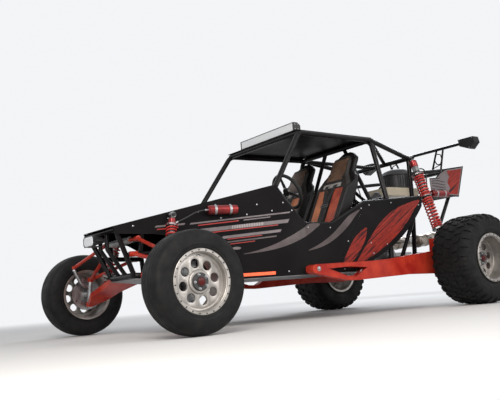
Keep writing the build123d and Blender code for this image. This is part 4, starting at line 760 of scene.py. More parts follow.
def section_at(section, half, radius, share):
    """A point of the carcass and its outward direction, at a share of the half width."""
    sign = -1 if share < 0 else 1
    share = abs(share)
    for (s0, d0), (s1, d1) in zip(section[:-1], section[1:]):
        if s0 <= share <= s1:
            t = (share - s0) / (s1 - s0)
            y, r = (s0 + (s1 - s0) * t) * half, radius - d0 - (d1 - d0) * t
            run = Vector(((s1 - s0) * half, -(d1 - d0)))
            out = Vector((-run.y, run.x)).normalized()
            if out.y < 0 and abs(out.y) > 0.5:
                out = -out
            return sign * y, r, sign * out.x, out.y
    return sign * half, radius - section[-1][1], sign, 0.0


KNOB_ROWS = [
    # count, turn as a share of a step, first and last share of the half width,
    # knob's width along the tread, its height and its slant
    (30, 0.0, -0.16, 0.16, 0.034, 0.0105, 0.25),
    (30, 0.5, 0.26, 0.58, 0.036, 0.0115, -0.3),
    (30, 0.5, -0.58, -0.26, 0.036, 0.0115, 0.3),
    (30, 0.0, 0.68, 0.955, 0.04, 0.0125, 0.0),
    (30, 0.0, -0.955, -0.68, 0.04, 0.0125, 0.0),
]
SIDE_RIBS = 48


def round_place(axle, radius, angle, y):
    """A place at a radius and an angle round an axle, from its top on."""
    return Vector((axle.x + radius * sin(angle), y, axle.z + radius * cos(angle)))


def make_rear_tyre(name, body, side):
    """A wide rear tyre with rows of knobs that wrap over its shoulders."""
    shape = Shape()
    middle_y, half, radius, foot_y = REAR_TYRE
    rings = tyre_rings(REAR_SECTION, half, radius, foot_y)
    shape.spin(rings, REAR_AXLE + Vector((0, middle_y, 0)), AXIS_Y, 96)
    for count, turn, low, high, width, height, slant in KNOB_ROWS:
        steps = 4 if abs(low) > 0.5 or abs(high) > 0.6 else 2
        for i in range(count):
            middle = 2 * pi * (i + turn) / count
            points, faces = [], []
            for k in range(steps + 1):
                share = low + (high - low) * k / steps
                y, r, ny, nr = section_at(REAR_SECTION, half, radius, share)
                lean = slant * (share - (low + high) / 2) * half / radius
                for side_sign in (-1, 1):
                    spread = side_sign * width / 2 / radius
                    for lift, pinch in ((-0.004, 1.0), (height, 0.84)):
                        angle = middle + lean + spread * pinch
                        rr = min(r + nr * lift, radius)
                        yy = max(-half, min(half, y + ny * lift))
                        points.append(round_place(REAR_AXLE, rr, angle, middle_y + yy))
            for k in range(steps):
                a = k * 4
                b = a + 4
                faces += [(a, b, b + 1, a + 1), (a + 1, b + 1, b + 3, a + 3), (a + 3, b + 3, b + 2, a + 2)]
            end = steps * 4
            faces += [(0, 1, 3, 2), (end, end + 2, end + 3, end + 1)]
            shape.add(points, faces)
    for i in range(SIDE_RIBS):
        angle = 2 * pi * i / SIDE_RIBS
        points = []
        for drop, y in ((0.062, 0.1915), (0.095, 0.1942)):
            for spread in (-0.006, 0.006):
                for lift in (-0.002, 0.0018):
                    points.append(round_place(REAR_AXLE, radius - drop, angle + spread, middle_y + y + lift))
        faces = [(0, 4, 5, 1), (1, 5, 7, 3), (3, 7, 6, 2), (0, 1, 3, 2), (4, 6, 7, 5)]
        shape.add(points, faces)
    shape = shape if side > 0 else shape.mirrored()
    shape.make(name, ["tyre_rubber"], body, 30, [name.replace("tyre_knobbed_", "rear_tyre_")])


def make_wheels():
    """All four wheels."""
    for word, side in (("left", 1), ("right", -1)):
        front, rear = f"front_wheel_{word}", f"rear_wheel_{word}"
        make_rim(f"front_rim_wheel_{word}", FRONT_AXLE, *FRONT_RIM_Y, front, side)
        make_rim(f"rear_rim_wheel_{word}", REAR_AXLE, *REAR_RIM_Y, rear, side)
        make_front_tyre(f"tyre_round_{word}", front, side)
        make_rear_tyre(f"tyre_knobbed_{word}", rear, side)


# Suspension
SHOCKS = [
    # top, low, body's, spring's and wire's radius, spring's start and end as shares of the length, turns
    ((1.52, 0.436, 0.866), (1.64, 0.54, 0.424), 0.026, 0.044, 0.006, 0.2, 0.86, 12),
    ((-1.19, 0.44, 1.44), (-1.17, 0.7, 0.655), 0.033, 0.056, 0.0078, 0.24, 0.92, 19),
]
COLLAR_GAP = 0.0003
RING_SHARE, RING_ROOM = 0.42, 0.02
TURN_STEPS = 20


def make_springs():
    """Helical springs on the four shocks, each in two lengths with a ring between."""
    shape = Shape()
    for top, low, body_r, spring_r, wire, start, end, turns in SHOCKS:
        top, low = Vector(top), Vector(low)
        run = low - top
        along = run.normalized()
        across = along.orthogonal().normalized()
        other = along.cross(across)
        coil = spring_r - 0.0025 - wire
        length = run.length * (end - start) - 2 * COLLAR_GAP - wire * 2
        for share_from, share_to in ((0.0, RING_SHARE - RING_ROOM), (RING_SHARE + RING_ROOM, 1.0)):
            path = []
            count = max(3, round(turns * (share_to - share_from)))
            for i in range(count * TURN_STEPS + 1):
                t = i / (count * TURN_STEPS)
                eased = t - 0.035 * sin(2 * pi * t)
                share = share_from + (share_to - share_from) * eased
                place = top + along * (run.length * start + COLLAR_GAP + wire + length * share)
                angle = 2 * pi * count * t
                path.append(place + way_round(across, other, angle) * coil)
            shape.tube(path, wire, 8, 0)
        middle = top + along * (run.length * start + length * RING_SHARE)
        shape.spin([(-0.012, body_r + 0.004), (-0.012, coil - 0.002), (-0.004, spring_r - 0.003),
                    (0.004, spring_r - 0.003), (0.012, coil - 0.002), (0.012, body_r + 0.004)],
                    middle, along, 32, 1)
    shape.both_sides().make("spring_coils", ["spring_red", "shock_steel"], "chassis", 45, ["coil_springs"])


# Frame tubes, as in the CAD: radius, points of the left half, and the first corners' bend radii if special
MAIN, BRACE, THIN, STUB = 0.02225, 0.019, 0.016, 0.014
FRAME_RUNS = [
    (MAIN, [(1.895, 0.2513, 0.7856), (0.645, 0.5696, 1.0698), (0.3, 0.515, 1.5645),
               (-0.59, 0.485, 1.5645)], [0.0, 0.09]),
    (MAIN, [(-0.59, 0, 1.5645), (-0.59, 0.485, 1.5645), (-0.575, 0.6245, 1), (-0.56, 0.6245, 0.385)],
     [0.09]),
    (MAIN, [(1.74, 0, 0.445), (1.74, 0.2, 0.445), (1.004, 0.4782, 0.385), (0.4298, 0.6245, 0.385),
               (-0.56, 0.6245, 0.385), (-0.9, 0.42, 0.43), (-1.26, 0.29, 0.5), (-1.5, 0.29, 0.5)]),
    (MAIN, [(0.645, 0.5696, 1.0698), (0.4298, 0.6245, 0.765), (0.13, 0.6245, 0.765), (-0.28, 0.6245, 0.95),
               (-1.02, 0.6245, 1.01)]),
    (MAIN, [(-0.59, 0.485, 1.5645), (-1.19, 0.4, 1.44)]),
    (MAIN, [(-1.19, 0, 1.44), (-1.19, 0.4, 1.44), (-1.185, 0.4, 1.03), (-1.26, 0.29, 0.5)]),
    (BRACE, [(0.3, 0, 1.5645), (0.3, 0.515, 1.5645)]),
    (BRACE, [(0.645, 0, 1.0698), (0.645, 0.5696, 1.0698)]),
    (BRACE, [(-0.575, 0, 1), (-0.575, 0.6245, 1)]),
    (BRACE, [(-0.56, 0, 0.385), (-0.56, 0.6245, 0.385)]),
    (BRACE, [(1.895, 0, 0.7856), (1.895, 0.2513, 0.7856)]),
    (BRACE, [(-0.59, 0.13, 1.5645), (-0.575, 0.43, 1)]),
    (BRACE, [(-0.59, 0.485, 1.5645), (-1.19, 0.09, 1.44)]),
    (BRACE, [(-1.02, 0.6245, 1.01), (-1.185, 0.4, 1.03)]),
    (BRACE, [(-1.02, 0.6245, 1.01), (-0.9, 0.42, 0.43)]),
    (BRACE, [(1.895, 0.2513, 0.7856), (1.74, 0.2, 0.445)]),
    (BRACE, [(1.4, 0.3773, 0.8982), (1.4, 0.311, 0.418)]),
    (BRACE, [(0.645, 0.5696, 1.0698), (0.9, 0.5047, 0.385)]),
    (BRACE, [(0.4298, 0.6245, 0.765), (0.4298, 0.6245, 0.385)]),
    (BRACE, [(0.9, 0, 0.385), (0.9, 0.5047, 0.385)]),
    (BRACE, [(1.79, 0.225, 0.6), (1.4, 0.34, 0.6)]),
    (BRACE, [(-1.5, 0, 0.5), (-1.5, 0.29, 0.5)]),
    (BRACE, [(-1.19, 0.39, 1.29), (-1.94, 0.39, 1.37)]),
    (BRACE, [(-1.185, 0.39, 1.03), (-1.88, 0.39, 1.1)]),
    (BRACE, [(-1.88, 0, 1.1), (-1.88, 0.39, 1.1)]),
    (BRACE, [(-1.94, 0, 1.37), (-1.94, 0.39, 1.37)]),
    (BRACE, [(-1.88, 0.3, 1.1), (-1.5, 0.29, 0.5)]),
    (THIN, [(1.88, 0.06, 0.7856), (1.88, 0.06, 0.655), (1.735, 0.06, 0.445)]),
    (THIN, [(-1.78, 0, 1.345), (-1.78, 0.39, 1.345)]),
    (THIN, [(1.7, 0.252, 0.6), (1.7, 0.3009, 0.83)]),
    (THIN, [(1.7, 0, 0.712), (1.7, 0.28, 0.712)]),
    (STUB, [(1.52, 0.3468, 0.866), (1.52, 0.464, 0.866)]),
    (STUB, [(-1.19, 0.4, 1.44), (-1.19, 0.468, 1.44)]),
]
SHARP_BEND = 0.04
WELD_OFFSET = 0.0235


def rounded_route(points, usual=SHARP_BEND, chords=8, bends=()):
    """A route with its corners laid out as arcs; the usual radius serves where none is given."""
    points = [Vector(point) for point in points]
    route = [points[0]]
    for i in range(1, len(points) - 1):
        inward = (points[i] - points[i - 1]).normalized()
        outward = (points[i + 1] - points[i]).normalized()
        turn = inward.angle(outward)
        bend = bends[i - 1] if i <= len(bends) and bends[i - 1] else usual
        reach = bend * tan(turn / 2)
        limit = 0.45 * min((points[i] - points[i - 1]).length, (points[i + 1] - points[i]).length)
        if reach > limit:
            bend *= limit / reach
            reach = limit
        side = (outward - inward * outward.dot(inward))
        if side.length < 1e-6:
            route.append(points[i])
            continue
        side.normalize()
        start = points[i] - inward * reach
        for step in range(chords + 1):
            angle = turn * step / chords
            route.append(start + inward * (bend * sin(angle)) + side * (bend * (1 - cos(angle))))
    return route + [points[-1]]


def make_frame():
    """The frame in round tube along the CAD's runs, with a bead of weld near the ends of each."""
    shape = Shape()
    for radius, points, *bends in FRAME_RUNS:
        shape.tube(rounded_route(points, bends=bends[0] if bends else ()), radius, 16, 0)
        bead = [(0.0015 * cos(a) * 2, radius + 0.0022 * sin(a)) for a in (0, 0.8, 1.57, 2.35, 3.14, 4.7)]
        for end, along in both_ends(points):
            if abs(end.y) > 0.001 and radius > STUB:
                shape.spin(bead, end + along * WELD_OFFSET, along, 20, 0)
    shape.both_sides().make("tube_frame_round", ["frame_black"],
                            "chassis", 50, ["frame_front", "frame_cockpit", "frame_cage", "frame_rear"])


def make_shock_details():
    """Caps, threads, toothed adjusters and shaft boots of the shocks, and the washers of their eyes."""
    shape = Shape()
    for top, low, body_r, spring_r, _, start, end, _ in SHOCKS:
        top, low = Vector(top), Vector(low)
        run = low - top
        along = run.normalized()
        rear = body_r > 0.03
        cap_from, cap_to = (0.034, 0.105) if rear else (0.03, 0.075)
        cap_r = body_r + 0.0035
        shape.spin([(cap_from, body_r * 0.6), (cap_from + 0.004, cap_r - 0.004), (cap_from + 0.009, cap_r),
                    (cap_to - 0.006, cap_r), (cap_to, cap_r - 0.003), (cap_to, body_r - 0.004)],
                    top, along, 32, 1)
        collar = run.length * start
        for i in range(7):
            at = collar - 0.018 - i * 0.0042
            shape.spin([(at - 0.0014, body_r - 0.001), (at, body_r + 0.0012), (at + 0.0014, body_r - 0.001)],
                       top, along, 32, 0)
        for i in range(18):
            across = along.orthogonal().normalized()
            out = way_round(across, along.cross(across), 2 * pi * i / 18)
            shape.box(top + along * (collar - 0.007) + out * (spring_r + 0.0002), (0.004, 0.004, 0.01), 1,
                      (out, along.cross(out), along))
        foot = run.length * end
        shape.spin([(foot + 0.014, 0.013), (foot + 0.016, 0.02), (foot + 0.03, 0.018), (foot + 0.032, 0.013)],
                   top, along, 24, 2)
        for eye in (top, low):
            for side in (1, -1):
                shape.spin([(0.0145, 0.0), (0.0145, 0.017), (0.017, 0.017), (0.0185, 0.012), (0.0185, 0.0)],
                           eye, AXIS_Y * side, 24, 0)
    shape.both_sides().make("shock_fittings", ["shock_steel", "reservoir_red", "hub_black"], "chassis", 35)


RESERVOIRS = [
    # middle, direction of its front end
    ((1.12445, 0.51341, 0.897), (0.96906, -0.24683, 0)),
    ((-1.543, 0.4506, 1.092), (1, 0, 0)),
]
# Hoses: name, route from part.py, length
HOSES = [
    ("front", [(1.24105, 0.48372, 0.897), (1.30858, 0.46652, 0.897), (1.4168, 0.45056, 0.83812),
               (1.5068, 0.45056, 0.80412)], 0.287),
    ("rear", [(-1.2222, 0.479, 1.32225), (-1.337, 0.479, 1.35225), (-1.361, 0.4506, 1.162),
              (-1.373, 0.4506, 1.092), (-1.4227, 0.4506, 1.092)], 0.374),
]
HOSE_R = 0.006


def make_reservoirs():
    """Round reservoirs with their clamp bands, screws and end plugs."""
    shape = Shape()
    for middle, ahead in RESERVOIRS:
        middle, ahead = Vector(middle), Vector(ahead).normalized()
        half, r = 0.12, 0.0358
        shape.spin([(-half, 0), (-half, r - 0.008), (-half + 0.003, r - 0.004), (-half + 0.012, r - 0.003),
                    (-half + 0.013, r), (half - 0.013, r), (half - 0.012, r - 0.003),
                    (half - 0.003, r - 0.004), (half, r - 0.008), (half, 0)],
                   middle, ahead, 40, 0)
        for place in (-0.06, 0.06):
            shape.spin([(place - 0.009, r - 0.001), (place - 0.009, r + 0.002), (place - 0.0075, r + 0.0024),
                        (place + 0.0075, r + 0.0024), (place + 0.009, r + 0.002), (place + 0.009, r - 0.001)],
                        middle, ahead, 40, 1)
            screw = middle + ahead * place + Vector((0, 0.01, r + 0.003))
            shape.bolt(screw - Vector((0, 0.006, 0.003)), (0, 1, 0), 0.004, 0.01, 1)
        shape.spin([(-half - 0.0025, 0), (-half - 0.0025, 0.008), (-half, 0.01), (-half, 0)],
                   middle, ahead, 16, 1)
    shape.both_sides().make("reservoirs_round", ["reservoir_red", "bolt_steel"],
                            "chassis", 35, ["shock_reservoirs"])


def make_hoses():
    """A hose from each shock to its reservoir, held at both ends by crimped fittings."""
    fittings = Shape()
    for name, route, length in HOSES:
        for word, side in (("left", 1), ("right", -1)):
            curve = bpy.data.curves.new(f"shock_hose_{name}_{word}", "CURVE")
            curve.dimensions = "3D"
            curve.bevel_depth = HOSE_R
            curve.bevel_resolution = 3
            curve.resolution_u = 16
            curve.use_fill_caps = True
            spline = curve.splines.new("NURBS")
            spline.points.add(len(route) - 1)
            for point, (x, y, z) in zip(spline.points, route):
                point.co = (x, side * y, z, 1)
            spline.order_u = 3
            spline.use_endpoint_u = True
            hose = placed(curve.name, curve)
            curve.materials.append(MATERIALS["hose_black"])
            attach(hose, "chassis")
        for end, along in both_ends(route):
            fittings.spin([(0.0002, 0.006), (0.0002, 0.0088), (0.011, 0.0088), (0.012, 0.0076),
                           (0.022, 0.0074), (0.023, 0.006)],
                          end, along, 12, 0)
    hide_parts("shock_hoses")
    fittings.both_sides().make("hose_fittings", ["bolt_steel"], "chassis", 40)


def make_air_cleaner():
    """Cream tray with a ribbed black dome on it, and the corrugated duct down to the plenum."""
    shape = Shape()
    x0, x1, y1, cut, z0, z1 = -1.621, -1.131, 0.15, 0.045, 1.115, 1.2
    outline = []
    for sx, sy in ((x1, y1), (x0, y1), (x0, -y1), (x1, -y1)):
        centre = (sx - (cut if sx == x1 else -cut), sy - (cut if sy > 0 else -cut))
        start = {(x1, y1): 0, (x0, y1): 90, (x0, -y1): 180, (x1, -y1): 270}[(sx, sy)]
        for k in range(7):
            angle = radians(start + 15 * k)
            outline.append((centre[0] + cut * cos(angle), centre[1] + cut * sin(angle)))
    middle = (x0 + x1) / 2
    rings = [(z0, 0.93), (z0 + 0.004, 0.97), (z0 + 0.03, 1.0), (z1 - 0.012, 1.0), (z1 - 0.006, 1.012),
             (z1 - 0.001, 1.01), (z1, 0.99)]
    points = [Vector((middle + (x - middle) * share, y * share, z)) for z, share in rings for x, y in outline]
    shape.loft(points, len(outline), 0)
    axis_at = Vector((-1.44, 0, 0))
    dome = [(1.199, 0), (1.199, 0.152), (1.206, 0.158), (1.212, 0.158), (1.216, 0.149), (1.34, 0.149),
            (1.346, 0.156), (1.356, 0.157), (1.362, 0.151), (1.385, 0.14), (1.402, 0.116), (1.413, 0.08),
            (1.418, 0.03), (1.4185, 0)]
    shape.spin(dome, axis_at, (0, 0, 1), 72, 1)
    for i in range(36):
        angle = 2 * pi * i / 36
        out = Vector((cos(angle), sin(angle), 0))
        side = Vector((-sin(angle), cos(angle), 0))
        shape.box(axis_at + out * 0.152 + Vector((0, 0, 1.278)), (0.008, 0.009, 0.122), 1,
                  (out, side, AXIS_Z))
    shape.spin([(1.416, 0), (1.416, 0.014), (1.4225, 0.013), (1.4225, 0)], axis_at, (0, 0, 1), 6, 2)
    path = rounded_route([(-0.96, 0, 0.9055), (-0.96, 0, 1.02), (-1.145, 0, 1.126)], 0.05, 10, [0.07])
    dense = divided(path, 0.0045) + path[-1:]
    radii = [0.052 + 0.0022 * sin(i * 2.1) for i in range(len(dense))]
    shape.tube(dense, radii, 24, 1)
    for at, along in both_ends(dense):
        shape.spin([(0.006, 0.05), (0.006, 0.0555), (0.018, 0.0555), (0.018, 0.05)], at, along, 32, 2)
    shape.make("air_cleaner_ribbed", ["intake_cream", "plastic_black", "bolt_steel"],
               "chassis", 30, ["air_cleaner"])


FINS_AHEAD, FINS_ABOVE = 46, 40
HEADLIGHT_FACE, HEADLIGHT_Z = 2.0015, 0.722


def make_lamps_detail():
    """Fins, screws and feet of the light bar; bright bars, studs and side plates of the headlight."""
    shape = Shape()
    for i in range(FINS_AHEAD):
        y = -0.386 + i * 0.772 / (FINS_AHEAD - 1)
        shape.box((0.1665, y, 1.6515), (0.0115, 0.004, 0.036), 0)
    for i in range(FINS_ABOVE):
        y = -0.385 + i * 0.77 / (FINS_ABOVE - 1)
        shape.box((0.222, y, 1.6888), (0.038, 0.0035, 0.0022), 0)
    for side in (1, -1):
        for dx, dz in ((0.02, 0.018), (0.02, 0.06), (0.052, 0.018), (0.052, 0.06)):
            shape.bolt((0.185 + dx - 0.006, side * 0.4, 1.613 + dz), (0, side, 0), 0.0032, 0.003, 1)
        shape.box((0.21, side * 0.3, 1.593), (0.05, 0.044, 0.006), 0)
        for dx in (-0.018, 0.018):
            shape.bolt((0.21 + dx, side * 0.3, 1.596), AXIS_Z, 0.004, 0.005, 1)
    shape.make("light_bar_fins", ["lamp_housing", "bolt_steel"], "chassis", 30)

    lamp = Shape()
    x = HEADLIGHT_FACE
    for z in (0.7045, 0.722, 0.7395):
        lamp.box((x - 0.001, 0, z), (0.006, 0.146, 0.0105), 0)
    for y in (-0.048, 0, 0.048):
        lamp.spin([(0, 0.0), (0, 0.008), (0.0022, 0.0075), (0.003, 0)], (x, y, HEADLIGHT_Z), AXIS_X, 20, 1)
    for side in (1, -1):
        lamp.box((1.955, side * 0.0965, HEADLIGHT_Z), (0.05, 0.006, 0.012), 2)
        for dz in (-0.026, 0.026):
            lamp.box((1.95, 0, HEADLIGHT_Z + dz * 1.55), (0.07, 0.12, 0.003), 2)
    lamp.make("headlight_bars", ["lamp_bright", "lamp_bright", "lamp_housing"], "chassis", 30)


# Seats
SEAT_Y = 0.3
PAD_VOXEL = 0.0086
PAD_SHRINK = 0.0055
PAD_CAP = 0.013
PAD_HALF = 0.211
PAD_FRAMES = 20
PAD_CLOTH = {"quality": 5, "mass": 0.3, "tension_stiffness": 15, "compression_stiffness": 15,
             "bending_stiffness": 1.5, "use_pressure": True, "uniform_pressure_force": 4}
# Height where a head's round top starts, and its rise
PAD_TOP, SHELL_TOP = (1.35, 0.105), (1.375, 0.112)
HEAD_HALF = 0.099
FLUTES = [-0.154, -0.126, -0.098, -0.07, -0.042, 0.042, 0.07, 0.098, 0.126, 0.154]
BOLSTER_SEAM = 0.154
BAND_LOW, BAND_HIGH, HEAD_LOW, HEAD_HIGH = 1.141, 1.176, 1.204, 1.407


# Seat shell's back and base planes: a place, the slope and what turns a level distance into one off the plane
BACK_X, BACK_Z, BACK_SLOPE, BACK_STRETCH = 0.047, 0.5, 0.519, 1.1267
BASE_X, BASE_Z, BASE_SLOPE, BASE_SHARE = 0.046, 0.503, 0.1156, 0.9934


def back_plane(point):
    """Distance of a point in front of the seat shell's back, and height of it above the shell's base."""
    forward = (point.x - (BACK_X - (point.z - BACK_Z) * BACK_SLOPE)) / BACK_STRETCH
    rise = (point.z - BASE_Z - (point.x - BASE_X) * BASE_SLOPE) * BASE_SHARE
    return forward, rise


def seat_zone(point):
    """Which part of the pad a point of its face belongs to: a word for its leather."""
    forward, rise = back_plane(point)
    across = point.y - SEAT_Y
    on_back = forward < rise
    if on_back and point.z > HEAD_LOW:
        inside = abs(across) < HEAD_HALF and point.z < HEAD_HIGH and forward > 0.026
        return "head" if inside else "edge"
    if on_back and point.z > 1.12:
        lit = BAND_LOW < point.z < BAND_HIGH and abs(across) < 0.115 and forward > 0.03
        return "band" if lit else "edge"
    face = forward > 0.04 if on_back else rise > 0.036 and point.x < 0.53
    if face and 0.042 < abs(across) < BOLSTER_SEAM:
        return "inner" if across < 0 else "outer"
    return "edge"


def seam_lines(point):
    """Whether a point lies on a sewn line of the pad."""
    forward, rise = back_plane(point)
    across = point.y - SEAT_Y
    half = PAD_VOXEL * 0.52
    on_back = forward < rise
    if on_back and point.z > 1.12:
        if forward < 0.02:
            return False
        across_band = any(abs(point.z - z) < half for z in (BAND_LOW, BAND_HIGH,
                                                            HEAD_LOW)) and abs(across) < 0.13
        head = abs(point.z - HEAD_HIGH) < half and abs(across) < 0.1
        sides = HEAD_LOW < point.z < HEAD_HIGH and abs(abs(across) - HEAD_HALF) < half
        return across_band or head or sides
    face = forward > 0.035 if on_back else rise > 0.032 and point.x < 0.535
    fold = abs(forward - rise) < half * 1.3 and forward > 0.035
    return face and (fold or any(abs(across - line) < half for line in FLUTES))


def rounded_top(z, start, rise):
    """Share of the width that is left at a height, for a head with a round top."""
    return 1.0 if z < start else sqrt(max(0.04, 1 - ((z - start) / rise) ** 2))


def simulated_pad():
    """The left seat's pad as swollen leather: remeshed, sewn along its seams and blown up a little."""
    pad = remeshed("seat_cushions", PAD_VOXEL, 6, left_only=True)
    for v in pad.vertices:
        v.co.y = SEAT_Y + (v.co.y - SEAT_Y) * rounded_top(v.co.z, *PAD_TOP)
    normals = [v.normal.copy() for v in pad.vertices]
    pinned = []
    for v, normal in zip(pad.vertices, normals):
        forward, rise = back_plane(v.co)
        rests = min(forward, rise) < 0.012
        v.co = v.co - normal * (0.0015 if rests else PAD_SHRINK)
        if rests:
            pinned.append(v.index)
    held = set(pinned)
    seams = [v.index for v in pad.vertices if v.index not in held and seam_lines(v.co)]
    for i in seams:
        pad.vertices[i].co -= normals[i] * 0.0035
    rest = [v.co.copy() for v in pad.vertices]
    puff = placed("pad_puff", pad)
    group = puff.vertex_groups.new(name="sewn")
    group.add(pinned + seams, 1.0, "REPLACE")
    settings = puff.modifiers.new("cloth", "CLOTH").settings
    for key, value in PAD_CLOTH.items():
        setattr(settings, key, value)
    settings.vertex_group_mass = "sewn"
    settings.effector_weights.gravity = 0
    scene = bpy.context.scene
    for step in range(1, PAD_FRAMES + 1):
        scene.frame_set(step)
    blown = evaluated(puff)
    for v, moved, at in zip(pad.vertices, blown.vertices, rest):
        step = moved.co - at
        v.co = at + step * min(1.0, PAD_CAP / max(step.length, 1e-9))
    scene.frame_set(1)
    bpy.data.objects.remove(puff)
    bpy.data.meshes.remove(blown)
    for v in pad.vertices:
        v.co.y = max(SEAT_Y - PAD_HALF, min(SEAT_Y + PAD_HALF, v.co.y))
    finish = placed("pad_finish", pad)
    finish.modifiers.new("subdivide", "SUBSURF").levels = 1
    smooth = evaluated(finish)
    bpy.data.objects.remove(finish)
    return smooth


PAD_LEATHERS = {"edge": 0, "head": 1, "inner": 2, "outer": 3, "band": 4}


def make_seat_pads():
    """Both seats' pads in black leather with their coloured panels."""
    pad = simulated_pad()
    pad.materials.clear()
    pad.polygons.foreach_set("material_index", [PAD_LEATHERS[seat_zone(face.center)]
                                                for face in pad.polygons])
    twin = pad.copy()
    for v in twin.vertices:
        v.co.y = -v.co.y
    twin.flip_normals()
    names = ("seat_pad_left", "seat_pad_right")
    leathers = ["seat_leather", "leather_brown", "leather_tan", "leather_red", "band_grey"]
    for name, mesh in zip(names, (pad, twin)):
        piece = add_object(name, mesh, leathers, "chassis")
    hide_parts("seat_cushions")


def make_seat_shells():
    """The bucket shells with their edges rounded off, as moulded."""
    shell = remeshed("seat_shells", 0.008, 9)
    shell.materials.clear()
    for v in shell.vertices:
        middle = SEAT_Y if v.co.y > 0 else -SEAT_Y
        v.co.y = middle + (v.co.y - middle) * rounded_top(v.co.z, *SHELL_TOP)
    piece = add_object("seat_shells_moulded", shell, ["seat_shell"], "chassis")
    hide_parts("seat_shells")


def seat_point(across, forward, z, side=1):
    """A point in front of the seat back, from its distance across, off the shell and its height."""
    x = BACK_X - (z - BACK_Z) * BACK_SLOPE + forward * BACK_STRETCH
    return Vector((x, side * SEAT_Y + across, z))


def strap(shape, path, width, thickness, facing, tint=0):
    """A flat webbing along a path, its face towards the given direction at each point."""
    points = []
    for i, (place, out) in enumerate(zip(path, facing)):
        before, after = path[max(i - 1, 0)], path[min(i + 1, len(path) - 1)]
        along = (after - before).normalized()
        side = along.cross(Vector(out)).normalized()
        up = side.cross(along).normalized()
        half, thick = width / 2, thickness / 2
        for w, t in ((-half, -thick), (-half + 0.001, thick), (half - 0.001, thick), (half, -thick)):
            points.append(place + side * w + up * t)
    shape.loft(points, 4, tint)


STRAP_ACROSS, STRAP_WIDTH, LAP_WIDTH, WEBBING = 0.058, 0.04, 0.046, 0.0018
BAR_X, BAR_Z = -0.575, 1.0
BACK_OUT, BACK_DOWN = Vector((1, 0, BACK_SLOPE)).normalized(), Vector((0.4607, 0, -0.8876))
# Shoulder strap's heights and distances off the shell, from behind the back down to the buckle
STRAP_RUN = [
    (1.168, -0.052), (1.166, -0.02), (1.166, 0.02), (1.163, 0.058), (1.15, 0.0665), (1.1, 0.069), (1.0, 0.07),
    (0.9, 0.0705), (0.8, 0.071), (0.7, 0.073), (0.66, 0.076),
]
# Lap strap beyond the buckle: x, distance from the seat's middle, z
LAP_RUN = [(0.11, 0.1, 0.668), (0.085, 0.17, 0.648), (0.06, 0.2075, 0.6), (0.045, 0.2115, 0.56)]


def make_harness():
    """Shoulder and lap webbing with its loops on the bar, adjusters and buckle."""
    webbing = Shape()
    for side in (1, -1):
        for across in (-STRAP_ACROSS, STRAP_ACROSS):
            path, facing = [], []
            for z, forward in STRAP_RUN:
                share = max(0.0, min(1.0, (1.16 - z) / 0.16))
                path.append(seat_point(across * (1 - 0.64 * share), forward, z, side))
                facing.append((0.5, 0, 1) if z > 1.155 else (1, 0, 0.45))
            webbing_path = rounded_strap(path)
            strap(webbing, webbing_path, STRAP_WIDTH, WEBBING, spread_facing(facing, len(webbing_path)), 0)
            anchor = Vector((BAR_X, side * SEAT_Y + across * 0.8, BAR_Z + 0.0225))
            top = path[0]
            run = [anchor + Vector((-0.004, 0, 0.0)), anchor.lerp(top, 0.3) + Vector((0, 0, -0.004)),
                   anchor.lerp(top, 0.7), top]
            strap(webbing, run, LAP_WIDTH, WEBBING, [AXIS_Z] * 4, 0)
            webbing.spin([(-0.024, 0.0195), (-0.024, 0.0225), (0.024, 0.0225), (0.024, 0.0195)],
                         (BAR_X, side * SEAT_Y + across * 0.8, BAR_Z), AXIS_Y, 24, 0)
            place = seat_point(across * 0.42, 0.0735, 0.97, side)
            faces = (AXIS_Y, BACK_DOWN, BACK_OUT)
            webbing.box(place, (0.045, 0.03, 0.004), 1, faces)
            webbing.box(place + BACK_OUT * 0.003, (0.03, 0.012, 0.005), 2, faces)
        buckle = Vector((0.125, side * SEAT_Y, 0.655))
        out = Vector((0.75, 0, 0.66)).normalized()
        webbing.spin([(-0.012, 0), (-0.012, 0.03), (0.008, 0.034), (0.014, 0.03), (0.014, 0.0)],
                     buckle, out, 28, 1)
        webbing.spin([(0.014, 0), (0.014, 0.02), (0.019, 0.018), (0.019, 0)], buckle, out, 20, 2)
        for way in (1, -1):
            lap = [buckle + Vector((0, way * 0.03, 0))]
            lap += [Vector((x, side * SEAT_Y + way * y, z)) for x, y, z in LAP_RUN]
            outs = [(0.7, 0, 0.7), (0.65, 0, 0.75), (0.5, way * 0.5, 0.7), (0.3, way * 0.9, 0.2),
                    (0.2, way, 0)]
            path = rounded_strap(lap)
            strap(webbing, path, LAP_WIDTH, WEBBING, spread_facing(outs, len(path)), 0)
    webbing.make("harness_webbing", ["webbing_black", "shock_steel", "plastic_black"], "chassis", 40)


def rounded_strap(points):
    """A strap's path, rounded at its corners."""
    return rounded_route(points, 0.03, 5)


def spread_facing(facing, count):
    """Facing directions spread over a longer path."""
    spread = []
    for i in range(count):
        at = i * (len(facing) - 1) / (count - 1)
        low = min(int(at), len(facing) - 2)
        spread.append(Vector(facing[low]).lerp(Vector(facing[low + 1]), at - low))
    return spread


# Painted graphics, as thin films just off the panels
CORNER_X, SIDE_Y, FAIRING_Y = 0.43305, 0.65, 0.4123
NOSE_X, NOSE_Y, TAPER = 1.925, 0.27, 0.2547
TAPER_OUT = (0.2468, 0.969, 0)
FILM = 0.0007
STRIPE_SLANT = 0.6


def panel_point(x, z, lift=FILM):
    """A point on the left side panel, lifted off it."""
    if x > CORNER_X:
        return Vector((x + TAPER_OUT[0] * lift, NOSE_Y + (NOSE_X - x) * TAPER + TAPER_OUT[1] * lift, z))
    return Vector((x, SIDE_Y + lift, z))


def fairing_point(x, z, lift=FILM):
    """A point on the left tail fairing, lifted off it."""
    return Vector((x, FAIRING_Y + lift, z))


def raised_fairing_point(x, z):
    """A point on the left tail fairing, lifted off the film below it."""
    return fairing_point(x, z, FILM * 2)


